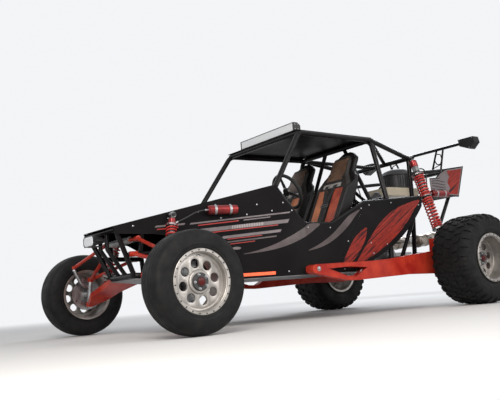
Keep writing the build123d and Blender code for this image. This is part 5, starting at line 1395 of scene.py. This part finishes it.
def clipped(outline, limit, above):
    """The part of an outline on one side of an x limit."""
    kept = []
    for (x0, z0), (x1, z1) in zip(outline, outline[1:] + outline[:1]):
        in0, in1 = (x0 > limit) == above, (x1 > limit) == above
        if in0:
            kept.append((x0, z0))
        if in0 != in1:
            t = (limit - x0) / (x1 - x0)
            kept.append((limit, z0 + (z1 - z0) * t))
    return kept


def film(shape, outline, tint, place=panel_point):
    """A flat film with the outline, folded round the panel's corner."""
    for above in (True, False):
        half = clipped(outline, CORNER_X, above)
        if len(half) < 3:
            continue
        flat = [Vector((x, z, 0)) for x, z in half]
        nudge = 0.00001 if above else 0.0
        shape.add([place(x + nudge, z) for x, z in half],
                  [tuple(face) for face in tessellate_polygon([flat])], tint)


def rounded_outline(points, steps=5):
    """A closed smooth line through the points."""
    made = []
    count = len(points)
    for i in range(count):
        a, b, c, d = (Vector(points[(i + k - 1) % count]) for k in range(4))
        for step in range(steps):
            t = step / steps
            square, cube = 2 * a - 5 * b + 4 * c - d, 3 * b - a - 3 * c + d
            spot = 0.5 * ((2 * b) + (c - a) * t + square * t * t + cube * t ** 3)
            made.append((spot.x, spot.y))
    return made


def bar_outline(start, end, width):
    """A long stripe between two points, with slanted ends."""
    (x0, z0), (x1, z1) = start, end
    half, slant = width / 2, STRIPE_SLANT
    return [(x0 - half * slant, z0 + half), (x0 + half * slant, z0 - half), (x1 + half * slant, z1 - half),
            (x1 - half * slant, z1 + half)]


STRIPES = [
    # start, end, width, colour: 0 grey, 1 red, 2 brown
    ((1.36, 0.801), (0.55, 0.866), 0.012, 0),
    ((1.3, 0.787), (0.98, 0.812), 0.008, 1),
    ((0.94, 0.816), (0.72, 0.833), 0.009, 0),
    ((1.33, 0.742), (0.57, 0.797), 0.03, 0),
    ((1.24, 0.7265), (0.66, 0.768), 0.007, 1),
    ((1.12, 0.686), (0.64, 0.722), 0.022, 0),
    ((1.08, 0.672), (0.8, 0.692), 0.006, 1),
    ((1.1, 0.648), (0.68, 0.68), 0.011, 2),
    ((1.06, 0.634), (0.86, 0.649), 0.006, 1),
    ((1.62, 0.789), (1.4, 0.802), 0.014, 0),
    ((1.61, 0.768), (1.45, 0.777), 0.009, 1),
]
SWOOSHES = [
    # outline, colour
    ([(0.966, 0.552), (0.84, 0.559), (0.703, 0.577), (0.59, 0.604), (0.486, 0.642), (0.4, 0.684),
      (0.33, 0.724), (0.27, 0.768), (0.385, 0.768), (0.44, 0.738), (0.5, 0.706), (0.58, 0.667),
      (0.699, 0.617), (0.84, 0.576)], 2),
    ([(0.42, 0.553), (0.3, 0.572), (0.178, 0.612), (0.06, 0.675), (-0.05, 0.752), (-0.13, 0.825),
      (-0.2, 0.89), (-0.075, 0.842), (0.0, 0.79), (0.08, 0.727), (0.18, 0.66), (0.3, 0.6)], 2),
]
OVAL = [(1.049 - 0.036 + 0.036 * cos(2 * pi * i / 20), 0.6 + 0.011 * sin(2 * pi * i / 20)) for i in range(20)]
LEAVES = [
    [(-0.1, 0.424), (-0.25, 0.467), (-0.42, 0.54), (-0.6, 0.64), (-0.78, 0.775), (-0.9, 0.895),
     (-0.985, 0.985), (-0.82, 0.955), (-0.64, 0.895), (-0.47, 0.8), (-0.33, 0.68), (-0.2, 0.545)],
    [(0.055, 0.425), (-0.02, 0.545), (-0.12, 0.655), (-0.26, 0.735), (-0.23, 0.63), (-0.14, 0.52),
     (-0.04, 0.44)],
]
FASTENERS = [
    (1.78, 0.8), (1.52, 0.85), (1.294, 0.889), (1.119, 0.838), (0.91, 0.858), (0.822, 0.935), (0.702, 0.882),
    (0.603, 0.945), (0.533, 0.88), (1.0, 0.398), (0.8, 0.398), (0.6, 0.398), (0.4, 0.385), (0.22, 0.38),
    (0.4, 0.74), (0.16, 0.735), (-0.22, 0.9), (-0.03, 0.62), (1.25, 0.56), (1.12, 0.47),
]
REAR_FASTENERS = [(-0.32, 0.93), (-0.6, 0.955), (-0.97, 0.94), (0.04, 0.39), (-0.32, 0.51), (-0.5, 0.585),
                  (-0.3, 0.6)]

# Row of short dashes between the long stripes: count, first x, step, height at the stripe's start, slope
DASHES, DASH_X, DASH_STEP, DASH_Z, DASH_FALL = 19, 1.035, 0.0137, 0.742, 0.0724
DASH_START = 1.33
DASH = [(0.004, -0.012), (-0.001, -0.012), (-0.006, 0.012), (-0.001, 0.012)]
# Tail fairing: grey field, red field, fasteners, and the black waves painted as the shade in the gaps between
# its louvres: their count, first height and step
FAIRING_GREY = [(-1.476, 1.092), (-1.467, 1.242), (-1.565, 1.25), (-1.646, 1.313), (-1.73, 1.35),
                (-2.006, 1.388), (-1.886, 1.086)]
FAIRING_RED = [(-1.745, 1.34), (-1.99, 1.374), (-1.88, 1.098), (-1.72, 1.1), (-1.77, 1.16), (-1.735, 1.22),
               (-1.775, 1.28)]
FAIRING_FASTENERS = [(-1.485, 1.235), (-1.66, 1.335), (-1.99, 1.385), (-1.9, 1.1), (-1.487, 1.1),
                     (-1.7, 1.093)]
WAVES, WAVE_Z, WAVE_STEP, WAVE_POINTS = 6, 1.118, 0.027, 15
WAVE_WIDTH, WAVE_SWING = 0.009, 0.006


def make_graphics():
    """Stripes, swooshes and streaked leaves on both sides of the body, with the panels' fasteners."""
    shape = Shape()
    for start, end, width, tint in STRIPES:
        film(shape, bar_outline(start, end, width), tint)
    for i in range(DASHES):
        x = DASH_X - i * DASH_STEP
        z = DASH_Z + (DASH_START - x) * DASH_FALL
        shape.add([panel_point(x + dx, z + dz, FILM * 2) for dx, dz in DASH], [(0, 1, 2, 3)], 3)
    for outline, tint in SWOOSHES:
        film(shape, rounded_outline(outline), tint)
    film(shape, OVAL, 0)
    for outline in LEAVES:
        film(shape, rounded_outline(outline), 4)
    film(shape, FAIRING_GREY, 0, fairing_point)
    film(shape, FAIRING_RED, 4, raised_fairing_point)
    # Black waves: painted shade for the gaps between the tail fairing's louvres, laid over its grey field
    for i in range(WAVES):
        z = WAVE_Z + i * WAVE_STEP
        far = -1.7 if i < WAVES - 1 else -1.62
        line = [(x, z + WAVE_SWING * sin((x + 1.47) * 22 + i))
                for x in [-1.49 + (far + 1.49) * k / (WAVE_POINTS - 1) for k in range(WAVE_POINTS)]]
        half = WAVE_WIDTH / 2
        film(shape, [(x, w + half) for x, w in line] + [(x, w - half) for x, w in reversed(line)], 5,
             raised_fairing_point)
    inks_and_shade = ["graphic_grey", "graphic_red", "graphic_brown", "graphic_pale", "graphic_streaks",
            "painted_louvre_shade"]
    shape.both_sides().make("painted_graphics", inks_and_shade, "chassis", 60)

    studs = Shape()
    for x, z in FASTENERS + REAR_FASTENERS:
        out = TAPER_OUT if x > CORNER_X else AXIS_Y
        studs.spin([(0, 0), (0, 0.0062), (0.001, 0.0062), (0.0013, 0.0048), (0.0028, 0.0032), (0.0033, 0)],
                   panel_point(x, z, 0.0001), out, 20, 0)
    for x, z in FAIRING_FASTENERS:
        studs.spin([(0, 0), (0, 0.005), (0.001, 0.005), (0.0028, 0.003), (0.0031, 0)],
                   fairing_point(x, z, 0.0001), AXIS_Y, 16, 0)
    studs.both_sides().make("panel_fasteners", ["bolt_steel"], "chassis", 35)


# Cockpit
WHEEL_AT, WHEEL_TILT, WHEEL_R = Vector((0.3, 0.3, 1.09)), radians(28), 0.155
DASH_FACE = 0.6226
GAUGES = [
    # y, z, radius
    (0.3, 0.985, 0.05), (0.185, 0.965, 0.036), (0.415, 0.965, 0.036), (0.08, 0.965, 0.026),
    (-0.02, 0.965, 0.026),
]
LEVER_AT = (0.3, 0, 0)
# Switches on the console: rows, step along it, first place, distances across
SWITCH_ROWS, SWITCH_STEP, SWITCH_DROP, SWITCH_FIRST = 5, 0.028, 0.014, (0.452, 0, 0.56 - 0.016)
SWITCHES_ACROSS = (-0.026, 0.0, 0.026)
TOGGLES, TOGGLE_Y, TOGGLE_STEP, TOGGLE_Z = 8, -0.12, 0.035, 0.965
TICKS, TICK_START, TICK_STEP = 11, -130, 26
PEDALS = (0.2, 0.3, 0.4)
SPOKES, WHEEL_BOLTS, STITCHES = (90, 210, 330), 6, 40


def make_steering_wheel():
    """Round steering wheel with its spokes, hub, bolts and stitches."""
    axis = Vector((cos(WHEEL_TILT), 0, -sin(WHEEL_TILT)))
    across = AXIS_Y
    up = Vector((sin(WHEEL_TILT), 0, cos(WHEEL_TILT)))
    centre = WHEEL_AT
    wheel = Shape()
    ring = [centre + way_round(across, up, 2 * pi * i / 64) * WHEEL_R for i in range(64)]
    wheel.tube(ring, 0.0148, 14, 0, closed=True)
    for angle in SPOKES:
        way = way_round(across, up, radians(angle))
        flank = axis.cross(way)
        for off in (-0.009, 0.009):
            wheel.tube([centre + way * 0.034 + flank * off * 1.6 + axis * 0.004,
                        centre + way * 0.143 + flank * off], 0.0042, 8, 1)
        wheel.box(centre + way * 0.085 + axis * 0.002, (0.095, 0.016, 0.0028), 1, (way, flank, axis))
    wheel.spin([(0.014, 0), (0.014, 0.0355), (-0.006, 0.0355), (-0.01, 0.03), (-0.0105, 0.018),
                (-0.014, 0.0165), (-0.0145, 0)],
               centre, axis, 40, 1)
    for i in range(WHEEL_BOLTS):
        way = way_round(across, up, radians(60 * i + 30))
        wheel.bolt(centre + way * 0.026 - axis * 0.0092, -axis, 0.0026, 0.003, 2)
    for i in range(STITCHES):
        at = 2 * pi * (i + 0.5) / STITCHES
        way = way_round(across, up, at)
        wheel.tube([centre + way * 0.1405,
                    centre + way * 0.1402 + (across * -sin(at) + up * cos(at)) * 0.006], 0.0011, 5, 1)
    wheel.make("steering_wheel_round", ["grip_black", "hub_black", "bolt_steel"], "steering_wheel", 40,
               ["steering_wheel"])


def make_controls():
    """Switch panel, lever with its boot, gauges, dash switches and pedals."""
    cab = Shape()
    slope = Vector((0.18, 0, -0.09)).normalized()
    flat = slope.cross(AXIS_Y)
    if flat.z < 0:
        flat = -flat
    first_x, first_y, first_z = SWITCH_FIRST
    for i in range(SWITCH_ROWS):
        spot = Vector((first_x + i * SWITCH_STEP, first_y, first_z - i * SWITCH_DROP)) + flat * 0.0015
        for y in SWITCHES_ACROSS:
            cab.box(spot + Vector((0, y, 0)), (0.02, 0.014, 0.003), 0, (slope, AXIS_Y, flat))
            cab.box(spot + Vector((0, y, 0)) + flat * 0.003, (0.013, 0.009, 0.006),
                    3 if (i + round(y * 40)) % 2 else 4, (slope, AXIS_Y, flat))
    cab.spin([(0.561, 0.042), (0.561, 0.0), (0.6, 0.0), (0.6, 0.014), (0.592, 0.02), (0.588, 0.016),
              (0.58, 0.03), (0.576, 0.024), (0.568, 0.038)], LEVER_AT, AXIS_Z, 24, 0)
    cab.spin([(0.6, 0.0), (0.6, 0.0105), (0.742, 0.0095), (0.742, 0.0)], LEVER_AT, AXIS_Z, 20, 1)
    for y, z, r in GAUGES:
        at = Vector((DASH_FACE, y, z))
        cab.spin([(0, 0.0), (0, r), (0.01, r), (0.013, r - 0.003), (0.013, r - 0.006), (0.0075, r - 0.007),
                  (0.0075, 0)], at, (-1, 0, 0), 40, 1)
        cab.spin([(0.0078, 0), (0.0078, r - 0.0075), (0.0082, r - 0.0075), (0.0082, 0)],
                 at, (-1, 0, 0), 40, 3)
        for k in range(TICKS):
            turn = radians(TICK_START + TICK_STEP * k)
            way = Vector((0, sin(turn), cos(turn)))
            cab.box(at + Vector((-0.0086, 0, 0)) + way * (r - 0.0125), (0.0006, 0.0016, 0.006), 0,
                    (AXIS_X, way.cross(AXIS_X), way))
        needle = Vector((0, -0.6, 0.8)).normalized()
        cab.box(at + Vector((-0.0095, 0, 0)) + needle * r * 0.32, (0.001, 0.0022, r * 0.68), 4,
                (AXIS_X, needle.cross(AXIS_X), needle))
        cab.spin([(0.0085, 0), (0.0085, 0.005), (0.011, 0.004), (0.011, 0)], at, (-1, 0, 0), 16, 0)
    for k in range(TOGGLES):
        at = Vector((DASH_FACE, TOGGLE_Y - k * TOGGLE_STEP, TOGGLE_Z))
        cab.spin([(0, 0), (0, 0.008), (0.003, 0.008), (0.0035, 0.005), (0.0035, 0)], at, (-1, 0, 0), 16, 2)
        cab.tube([at + Vector((-0.003, 0, 0)), at + Vector((-0.018, 0, -0.006))], [0.0028, 0.0019], 8, 2)
    for y in PEDALS:
        cab.tube([(1.02, y, 0.62), (0.99, y, 0.5), (0.975, y, 0.45)], 0.007, 10, 2)
        cab.box((0.97, y, 0.44), (0.006, 0.052, 0.062), 0,
                (Vector((0.94, 0, 0.34)), AXIS_Y, Vector((-0.34, 0, 0.94))))
    cab.tube([(1.02, 0.15, 0.62), (1.02, 0.45, 0.62)], 0.009, 12, 2)
    cab.make("cockpit_controls", ["plastic_black", "hub_black", "bolt_steel", "switch_white", "switch_red"],
             "chassis", 35)


# Engine bay
def turns_inward(a, b, c):
    """Whether the way from a by b to c makes no left turn."""
    return (b[0] - a[0]) * (c[1] - a[1]) <= (b[1] - a[1]) * (c[0] - a[0])


def hull_loop(circles, steps=40):
    """The path of a belt round circles of (y, z, radius)."""
    cloud = sorted(point for y, z, r in circles for point in circle((y, z), r, steps))
    loop = []
    for points in (cloud, cloud[::-1]):
        chain = []
        for p in points:
            while len(chain) > 1 and turns_inward(chain[-2], chain[-1], p):
                chain.pop()
            chain.append(p)
        loop += chain[:-1]
    return loop


COVER_AT = Vector((-0.87, 0.253, 0.851))
COVER_ACROSS, COVER_OUT = Vector((0, -0.7696, 0.6385)), Vector((0, 0.6385, 0.7696))
CYLINDERS, CYLINDER_X, CYLINDER_STEP = 4, -0.72, 0.1
ENGINE_FACE = -0.624
PULLEYS = [
    # y, z, radius
    (0, 0.56, 0.085), (0.12, 0.64, 0.04), (-0.105, 0.66, 0.046),
]
BELT_LIFT = 0.0018
COVER_RIBS, COVER_BOLTS_X = 7, (-1.065, -0.97, -0.87, -0.77, -0.675)
CORE_PLUGS_X, CORE_PLUGS = (-0.7, -0.83, -0.96, -1.05), ((0.53, 0.132), (0.575, 0.1425))
SUMP_BOLTS_X = (-0.68, -0.78, -0.88, -0.98, -1.07)
COOLANT_PIPES = [
    [(-0.655, 0.07, 0.8), (-0.62, 0.09, 0.83), (-0.6, 0.2, 0.86), (-0.6, 0.33, 0.72), (-0.61, 0.36, 0.5),
     (-0.6, 0.36, 0.412)],
    [(-0.655, -0.06, 0.75), (-0.615, -0.1, 0.78), (-0.6, -0.22, 0.8), (-0.6, -0.34, 0.66),
     (-0.61, -0.36, 0.48), (-0.6, -0.36, 0.412)],
]


def engine_sides():
    """Covers, coils, header pipes, runners, core plugs, starters and rails on both sides."""
    shape = Shape()
    along, cover_across, cover_out = AXIS_X, COVER_ACROSS, COVER_OUT
    middle = COVER_AT
    for k in range(COVER_RIBS):
        shape.box(middle + cover_across * (-0.036 + 0.012 * k) + cover_out * 0.003, (0.33, 0.0045, 0.0065), 0,
                  (along, cover_across, cover_out))
    for x in COVER_BOLTS_X:
        for s in (-0.052, 0.052):
            shape.bolt(Vector((x, COVER_AT.y, COVER_AT.z)) + cover_across * s, cover_out, 0.0048, 0.006, 1)
    shape.spin([(0, 0), (0, 0.023), (0.014, 0.023), (0.014, 0.026), (0.022, 0.026), (0.025, 0.022),
                (0.025, 0)],
               Vector((-0.708, COVER_AT.y, COVER_AT.z)), cover_out, 24, 2)
    for i in range(CYLINDERS):
        x = CYLINDER_X - CYLINDER_STEP * i
        plug = Vector((x, 0.252, 0.744))
        lead_out = Vector((0, 0.8, -0.6))
        shape.tube([plug, plug + lead_out * 0.03], [0.0095, 0.0085], 12, 2)
        pack = plug + lead_out * 0.034
        shape.box(pack, (0.044, 0.03, 0.02), 2, (along, Vector((0, 0.6, 0.8)), lead_out))
        shape.box(pack + Vector((0.03, 0, 0)), (0.018, 0.016, 0.012), 5,
                  (along, Vector((0, 0.6, 0.8)), lead_out))
        shape.bolt(pack + lead_out * 0.01 - along * 0.014, lead_out, 0.0032, 0.004, 1)
        port = rounded_route([(x - 0.01, 0.196, 0.688), (x - 0.012, 0.232, 0.683), (x - 0.04, 0.252, 0.665),
                              (x - 0.085, 0.2475, 0.653)], 0.03, 5)
        shape.tube(port, 0.0185, 14, 4)
        shape.box((x - 0.01, 0.2005, 0.688), (0.066, 0.007, 0.05), 1,
                  (along, Vector((0, 0.89, -0.45)), Vector((0, 0.45, 0.89))))
        runner = [(x, 0.104, 0.8), (x, 0.135, 0.793), (x, 0.165, 0.812)]
        shape.tube(rounded_route(runner, 0.02, 4), 0.021, 14, 0)
        shape.tube([(x, 0.125, 0.836), (x, 0.156, 0.83)], 0.007, 10, 2)
    shape.tube([(-0.69, 0.14, 0.842), (-1.06, 0.14, 0.842)], 0.008, 12, 1)
    for z, y in CORE_PLUGS:
        for x in CORE_PLUGS_X:
            shape.spin([(0, 0), (0, 0.016), (0.003, 0.016), (0.004, 0.012), (0.004, 0)],
                       (x, y, z), (0, 1, -0.23), 16, 1)
    for x in SUMP_BOLTS_X:
        shape.bolt((x, 0.122, 0.487), AXIS_Y, 0.005, 0.006, 1)
    shape.tube([(-0.99, 0.12, 0.535), (-0.86, 0.12, 0.535)], 0.038, 20, 5)
    shape.tube([(-0.86, 0.12, 0.535), (-0.8, 0.12, 0.535)], 0.03, 20, 0)
    shape.tube([(-0.97, 0.135, 0.578), (-0.88, 0.135, 0.578)], 0.02, 16, 5)
    return shape.both_sides()


def add_pulleys(both):
    """Front pulleys, and the belt round them."""
    front = ENGINE_FACE
    for y, z, r in PULLEYS:
        both.spin([(-0.002, r * 0.3), (-0.002, r - 0.003), (0.0, r), (0.004, r), (0.0045, r - 0.006),
                   (0.001, r - 0.01), (0.001, r * 0.45), (0.006, r * 0.4), (0.006, 0)],
                  (front, y, z), AXIS_X, 48, 1)
        both.bolt((front + 0.005, y, z), AXIS_X, 0.008, 0.009, 1)
        for k in range(6):
            turn = radians(60 * k + 15)
            both.spin([(0, 0), (0, r * 0.1), (0.0014, r * 0.1), (0.0014, 0)],
                      (front + 0.0012, y + cos(turn) * r * 0.62, z + sin(turn) * r * 0.62), (1, 0, 0), 14, 2)
    loop = hull_loop([(y, z, r + BELT_LIFT) for y, z, r in PULLEYS])
    dense = divided([Vector(point) for point in loop + loop[:1]], 0.02)
    count = len(dense)
    points = []
    for i, (y, z) in enumerate(dense):
        (ya, za), (yb, zb) = dense[i - 1], dense[(i + 1) % count]
        run = Vector((0, yb - ya, zb - za)).normalized()
        out = Vector((0, run.z, -run.y))
        for lift, x in ((0.0003, -0.646), (0.0034, -0.6455), (0.0034, -0.6285), (0.0003, -0.628)):
            points.append(Vector((x, y, z)) + out * lift)
    both.loft(points, 4, 3, loop=True)


def make_engine_details():
    """The engine's sides, pulleys, filler cap, plenum bolts and coolant pipes."""
    both = engine_sides()
    add_pulleys(both)
    both.spin([(0.93, 0), (0.93, 0.036), (0.955, 0.036), (0.962, 0.028), (0.975, 0.028), (0.975, 0)],
              (-0.735, 0, 0), (0, 0, 1), 28, 2)
    both.tube([(-0.735, 0, 0.903), (-0.735, 0, 0.932)], 0.024, 20, 0)
    for x in (-0.8, -0.86, -1.02):
        for y in (0.06, -0.06):
            both.bolt((x, y, 0.905), AXIS_Z, 0.005, 0.006, 1)
    for route in COOLANT_PIPES:
        both.tube(rounded_route(route, 0.05, 6), 0.016, 14, 5)
    both.make("engine_dressing", ["cast_aluminium", "bolt_steel", "plastic_black", "hose_black",
                                  "exhaust_steel", "engine_iron"],
              "chassis", 35)


# Half shafts, transaxle and silencers
HALF_SHAFT = Vector((-1.26, 0, 0.412))
SILENCER_AT, SILENCER_RUN = Vector((-1.42, 0.2, 0.64)), Vector((-0.36, -0.01, 0.04)).normalized()
TIP_AT, TIP_OUT = Vector((-1.85, 0.188, 0.688)), Vector((-0.07, -0.002, 0.008))

JOINT_BOLTS, FLANGE_BOLTS, BELLOWS_FOLDS = 12, 10, 6
RIBS_X = (-1.23, -1.29, -1.35, -1.41, -1.45)
CASE_BOLTS = [(-1.215, 0.355), (-1.44, 0.355), (-1.215, 0.488), (-1.44, 0.488), (-1.33, 0.352)]
SILENCER_BANDS = (0.012, 0.12, 0.24, 0.35)
EXHAUST_CLAMPS = (Vector((-0.98, 0.2425, 0.645)), Vector((-1.27, 0.219, 0.64)))


def make_driveline_details():
    """Bellows, clamps and bolts of the half shafts, the transaxle's ribs, the silencers' bands and tips."""
    shape = Shape()
    axle = HALF_SHAFT
    for start, way in ((0.15 + 0.0003, 1), (0.669 - 0.0003, -1)):
        at = axle + Vector((0, start, 0))
        out = Vector((0, way, 0))
        shape.spin([(0.002, 0.045), (0.002, 0.0545), (0.014, 0.0545), (0.016, 0.045)], at, out, 40, 1)
        for k in range(JOINT_BOLTS):
            turn = radians(30 * k)
            shape.bolt(at + Vector((cos(turn) * 0.0445, way * 0.0735, sin(turn) * 0.0445)), out, 0.0034,
                       0.004, 1)
        bellows = [(0.074, 0.018), (0.074, 0.042)]
        for k in range(BELLOWS_FOLDS):
            swell = 0.043 - 0.0038 * k
            bellows += [(0.079 + k * 0.012, swell), (0.084 + k * 0.012, swell - 0.0065)]
        bellows += [(0.152, 0.0215), (0.16, 0.0205), (0.16, 0.0175)]
        shape.spin(bellows, at, out, 36, 2)
        for k, r in ((0.077, 0.044), (0.156, 0.0215)):
            shape.spin([(k - 0.003, 0.02), (k - 0.003, r), (k + 0.003, r), (k + 0.003, 0.02)], at, out, 32, 1)
    for k in range(FLANGE_BOLTS):
        turn = radians(36 * k)
        shape.bolt(axle + Vector((cos(turn) * 0.0525, 0.1495, sin(turn) * 0.0525)), (0, 1, 0), 0.0045, 0.0055,
                   1)
    for x in RIBS_X:
        z, height = (0.445, 0.1) if x > -1.35 else (0.42, 0.13)
        shape.box((x, 0.1125, z), (0.006, 0.006, height), 0)
    for x, z in CASE_BOLTS:
        shape.bolt((x, 0.1098, z), AXIS_Y, 0.006, 0.007, 1)
    run, start = SILENCER_RUN, SILENCER_AT
    for at in SILENCER_BANDS:
        shape.spin([(at - 0.009, 0.061), (at - 0.009, 0.0635), (at + 0.009, 0.0635), (at + 0.009, 0.061)],
                   start, run, 48, 3)
    shape.spin([(0.0, 0.026), (0.0, 0.061), (-0.004, 0.058), (-0.012, 0.034), (-0.016, 0.027)],
               start, run, 40, 3)
    shape.spin([(0.3622, 0.03), (0.3622, 0.061), (0.366, 0.058), (0.374, 0.036), (0.376, 0.031)],
               start, run, 40, 3)
    shape.spin([(-0.016, 0.0305), (-0.016, 0.033), (-0.002, 0.0335), (0.001, 0.0318), (0.0, 0.0285),
                (-0.012, 0.0275), (-0.012, 0.0)],
               TIP_AT, TIP_OUT, 36, 3)
    shape.spin([(-0.0005, 0.0), (-0.0005, 0.027), (-0.0012, 0.027), (-0.0012, 0.0)], TIP_AT, TIP_OUT, 36, 4)
    for place in EXHAUST_CLAMPS:
        shape.spin([(-0.014, 0.0255), (-0.014, 0.0295), (0.014, 0.0295), (0.014, 0.0255)],
                   place, Vector((-1, -0.06, -0.02)), 36, 1)
        shape.bolt(place + Vector((0, 0, 0.0285)), (0, 0, 1), 0.005, 0.01, 1)
    shape.both_sides().make("driveline_dressing", ["cast_aluminium", "bolt_steel", "plastic_black",
                                                   "exhaust_steel", "hub_black"], "chassis", 35)


# Trailing arms' outline and hole, the pods' face and the weld beads
ARM_OUTLINE = [(0.43, 0.434), (-0.2, 0.44), (-0.458, 0.452), (-1.03, 0.505), (-1.04, 0.62), (-1.3, 0.56),
               (-1.345, 0.47), (-1.345, 0.33), (-1.174, 0.3), (-0.7, 0.312), (-0.03, 0.292), (0.11, 0.3),
               (0.434, 0.366)]
ARM_HOLE = [(0.3, 0.398), (0.09, 0.328), (-0.01, 0.322), (-0.15, 0.392), (0.06, 0.408)]
ARM_FACES_Y, ARM_PIVOT = (0.731, 0.669), (0.4, 0.4)
AXLE_BOLTS = [(-1.26, 0.475), (-1.215, 0.4), (-1.305, 0.4), (-1.26, 0.335)]
FRAME_LINE = [(1.35, 0.352, 0.608), (0.95, 0.478, 0.414), (0.45, 0.598, 0.412), (-0.5, 0.598, 0.412),
              (-0.86, 0.42, 0.455)]
TAIL_LOOP = [(-1.78, 0.254, 1.475), (-1.78, 0.275, 1.435), (-1.78, 0.318, 1.43), (-1.78, 0.3435, 1.475),
             (-1.78, 0.335, 1.53), (-1.78, 0.283, 1.545)]
POD_SCREWS = [(0.612, 1.61), (0.764, 1.61), (0.724, 1.52)]
POD = [(0.598, 1.622), (0.776, 1.622), (0.79, 1.562), (0.724, 1.505), (0.612, 1.552)]
POD_BACK = -1.8252
WELD_RADIUS, WELD_STEP = 0.0026, 0.0055


def weld_bead(shape, path):
    """A rippled bead along a closed path."""
    dense = divided(path + path[:1], WELD_STEP)
    shape.tube(dense, [WELD_RADIUS * (1.15 if i % 2 else 0.85) for i in range(len(dense))], 6, closed=True)


def make_chassis_details():
    """Weld beads and pivot bolts of the trailing arms, lines along the frame, tail loops and pod lenses."""
    shape = Shape()
    for outline in (ARM_OUTLINE, ARM_HOLE):
        for y in ARM_FACES_Y:
            weld_bead(shape, [Vector((x, y, z)) for x, z in outline])
    x, z = ARM_PIVOT
    shape.spin([(0, 0), (0, 0.019), (0.004, 0.019), (0.004, 0)], (x, 0.7312, z), AXIS_Y, 32, 1)
    shape.bolt((x, 0.7345, z), AXIS_Y, 0.0125, 0.012, 1)
    for x, z in AXLE_BOLTS:
        shape.bolt((x, 0.7312, z), AXIS_Y, 0.007, 0.008, 1)
    shape.tube(rounded_route(FRAME_LINE, 0.04, 5), 0.0035, 8, 2)
    for k in range(6):
        x = 0.35 - 0.15 * k
        shape.tube([(x - 0.004, 0.6245, 0.385), (x + 0.004, 0.6245, 0.385)], 0.0238, 16, 2)
        shape.box((x, 0.6005, 0.409), (0.008, 0.018, 0.012), 2)
    shape.tube(rounded_route(TAIL_LOOP, 0.016, 6), 0.0055, 10, 3)
    shape.tube([(-1.78, 0.222, 1.402), (-1.78, 0.3335, 1.43)], 0.0055, 10, 3)
    count = len(POD)
    middle = Vector((sum(y for y, z in POD) / count, sum(z for y, z in POD) / count))
    rim, glass = ([middle + (Vector(p) - middle) * share for p in POD] for share in (0.93, 0.78))
    back = POD_BACK
    rings = ((back, rim), (back - 0.004, rim), (back - 0.004, glass), (back - 0.001, glass))
    points = [Vector((x, p.x, p.y)) for x, ring in rings for p in ring]
    faces = []
    for low in range(0, 3 * count, count):
        for i in range(count):
            j = (i + 1) % count
            faces.append((low + i, low + j, low + count + j, low + count + i))
    shape.add(points, faces, 3)
    shape.add([Vector((back - 0.0012, p.x, p.y)) for p in glass], [(0, 1, 2, 3, 4)], 4)
    for k in range(4):
        shape.box((back - 0.0022, 0.645 + 0.032 * k, 1.578), (0.002, 0.02, 0.05), 4)
    for y, z in POD_SCREWS:
        shape.bolt((back - 0.0035, y, z), (-1, 0, 0), 0.003, 0.0025, 1)
        shape.bolt((-1.7352, y, z), (1, 0, 0), 0.003, 0.0025, 1)
    shape.both_sides().make("chassis_dressing", ["arm_red", "bolt_steel", "hose_black", "frame_black",
                                                 "lens_red"], "chassis", 40)


make_camera()
make_body_materials()
make_engine_and_lamp_materials()
make_seat_materials()
make_inks()
make_floor()
make_world()
make_lamps()
dress_nodes()
make_frame()
make_wheels()
make_springs()
make_shock_details()
make_reservoirs()
make_hoses()
make_air_cleaner()
make_lamps_detail()
make_seat_shells()
make_seat_pads()
make_harness()
make_graphics()
make_steering_wheel()
make_controls()
make_engine_details()
make_driveline_details()
make_chassis_details()
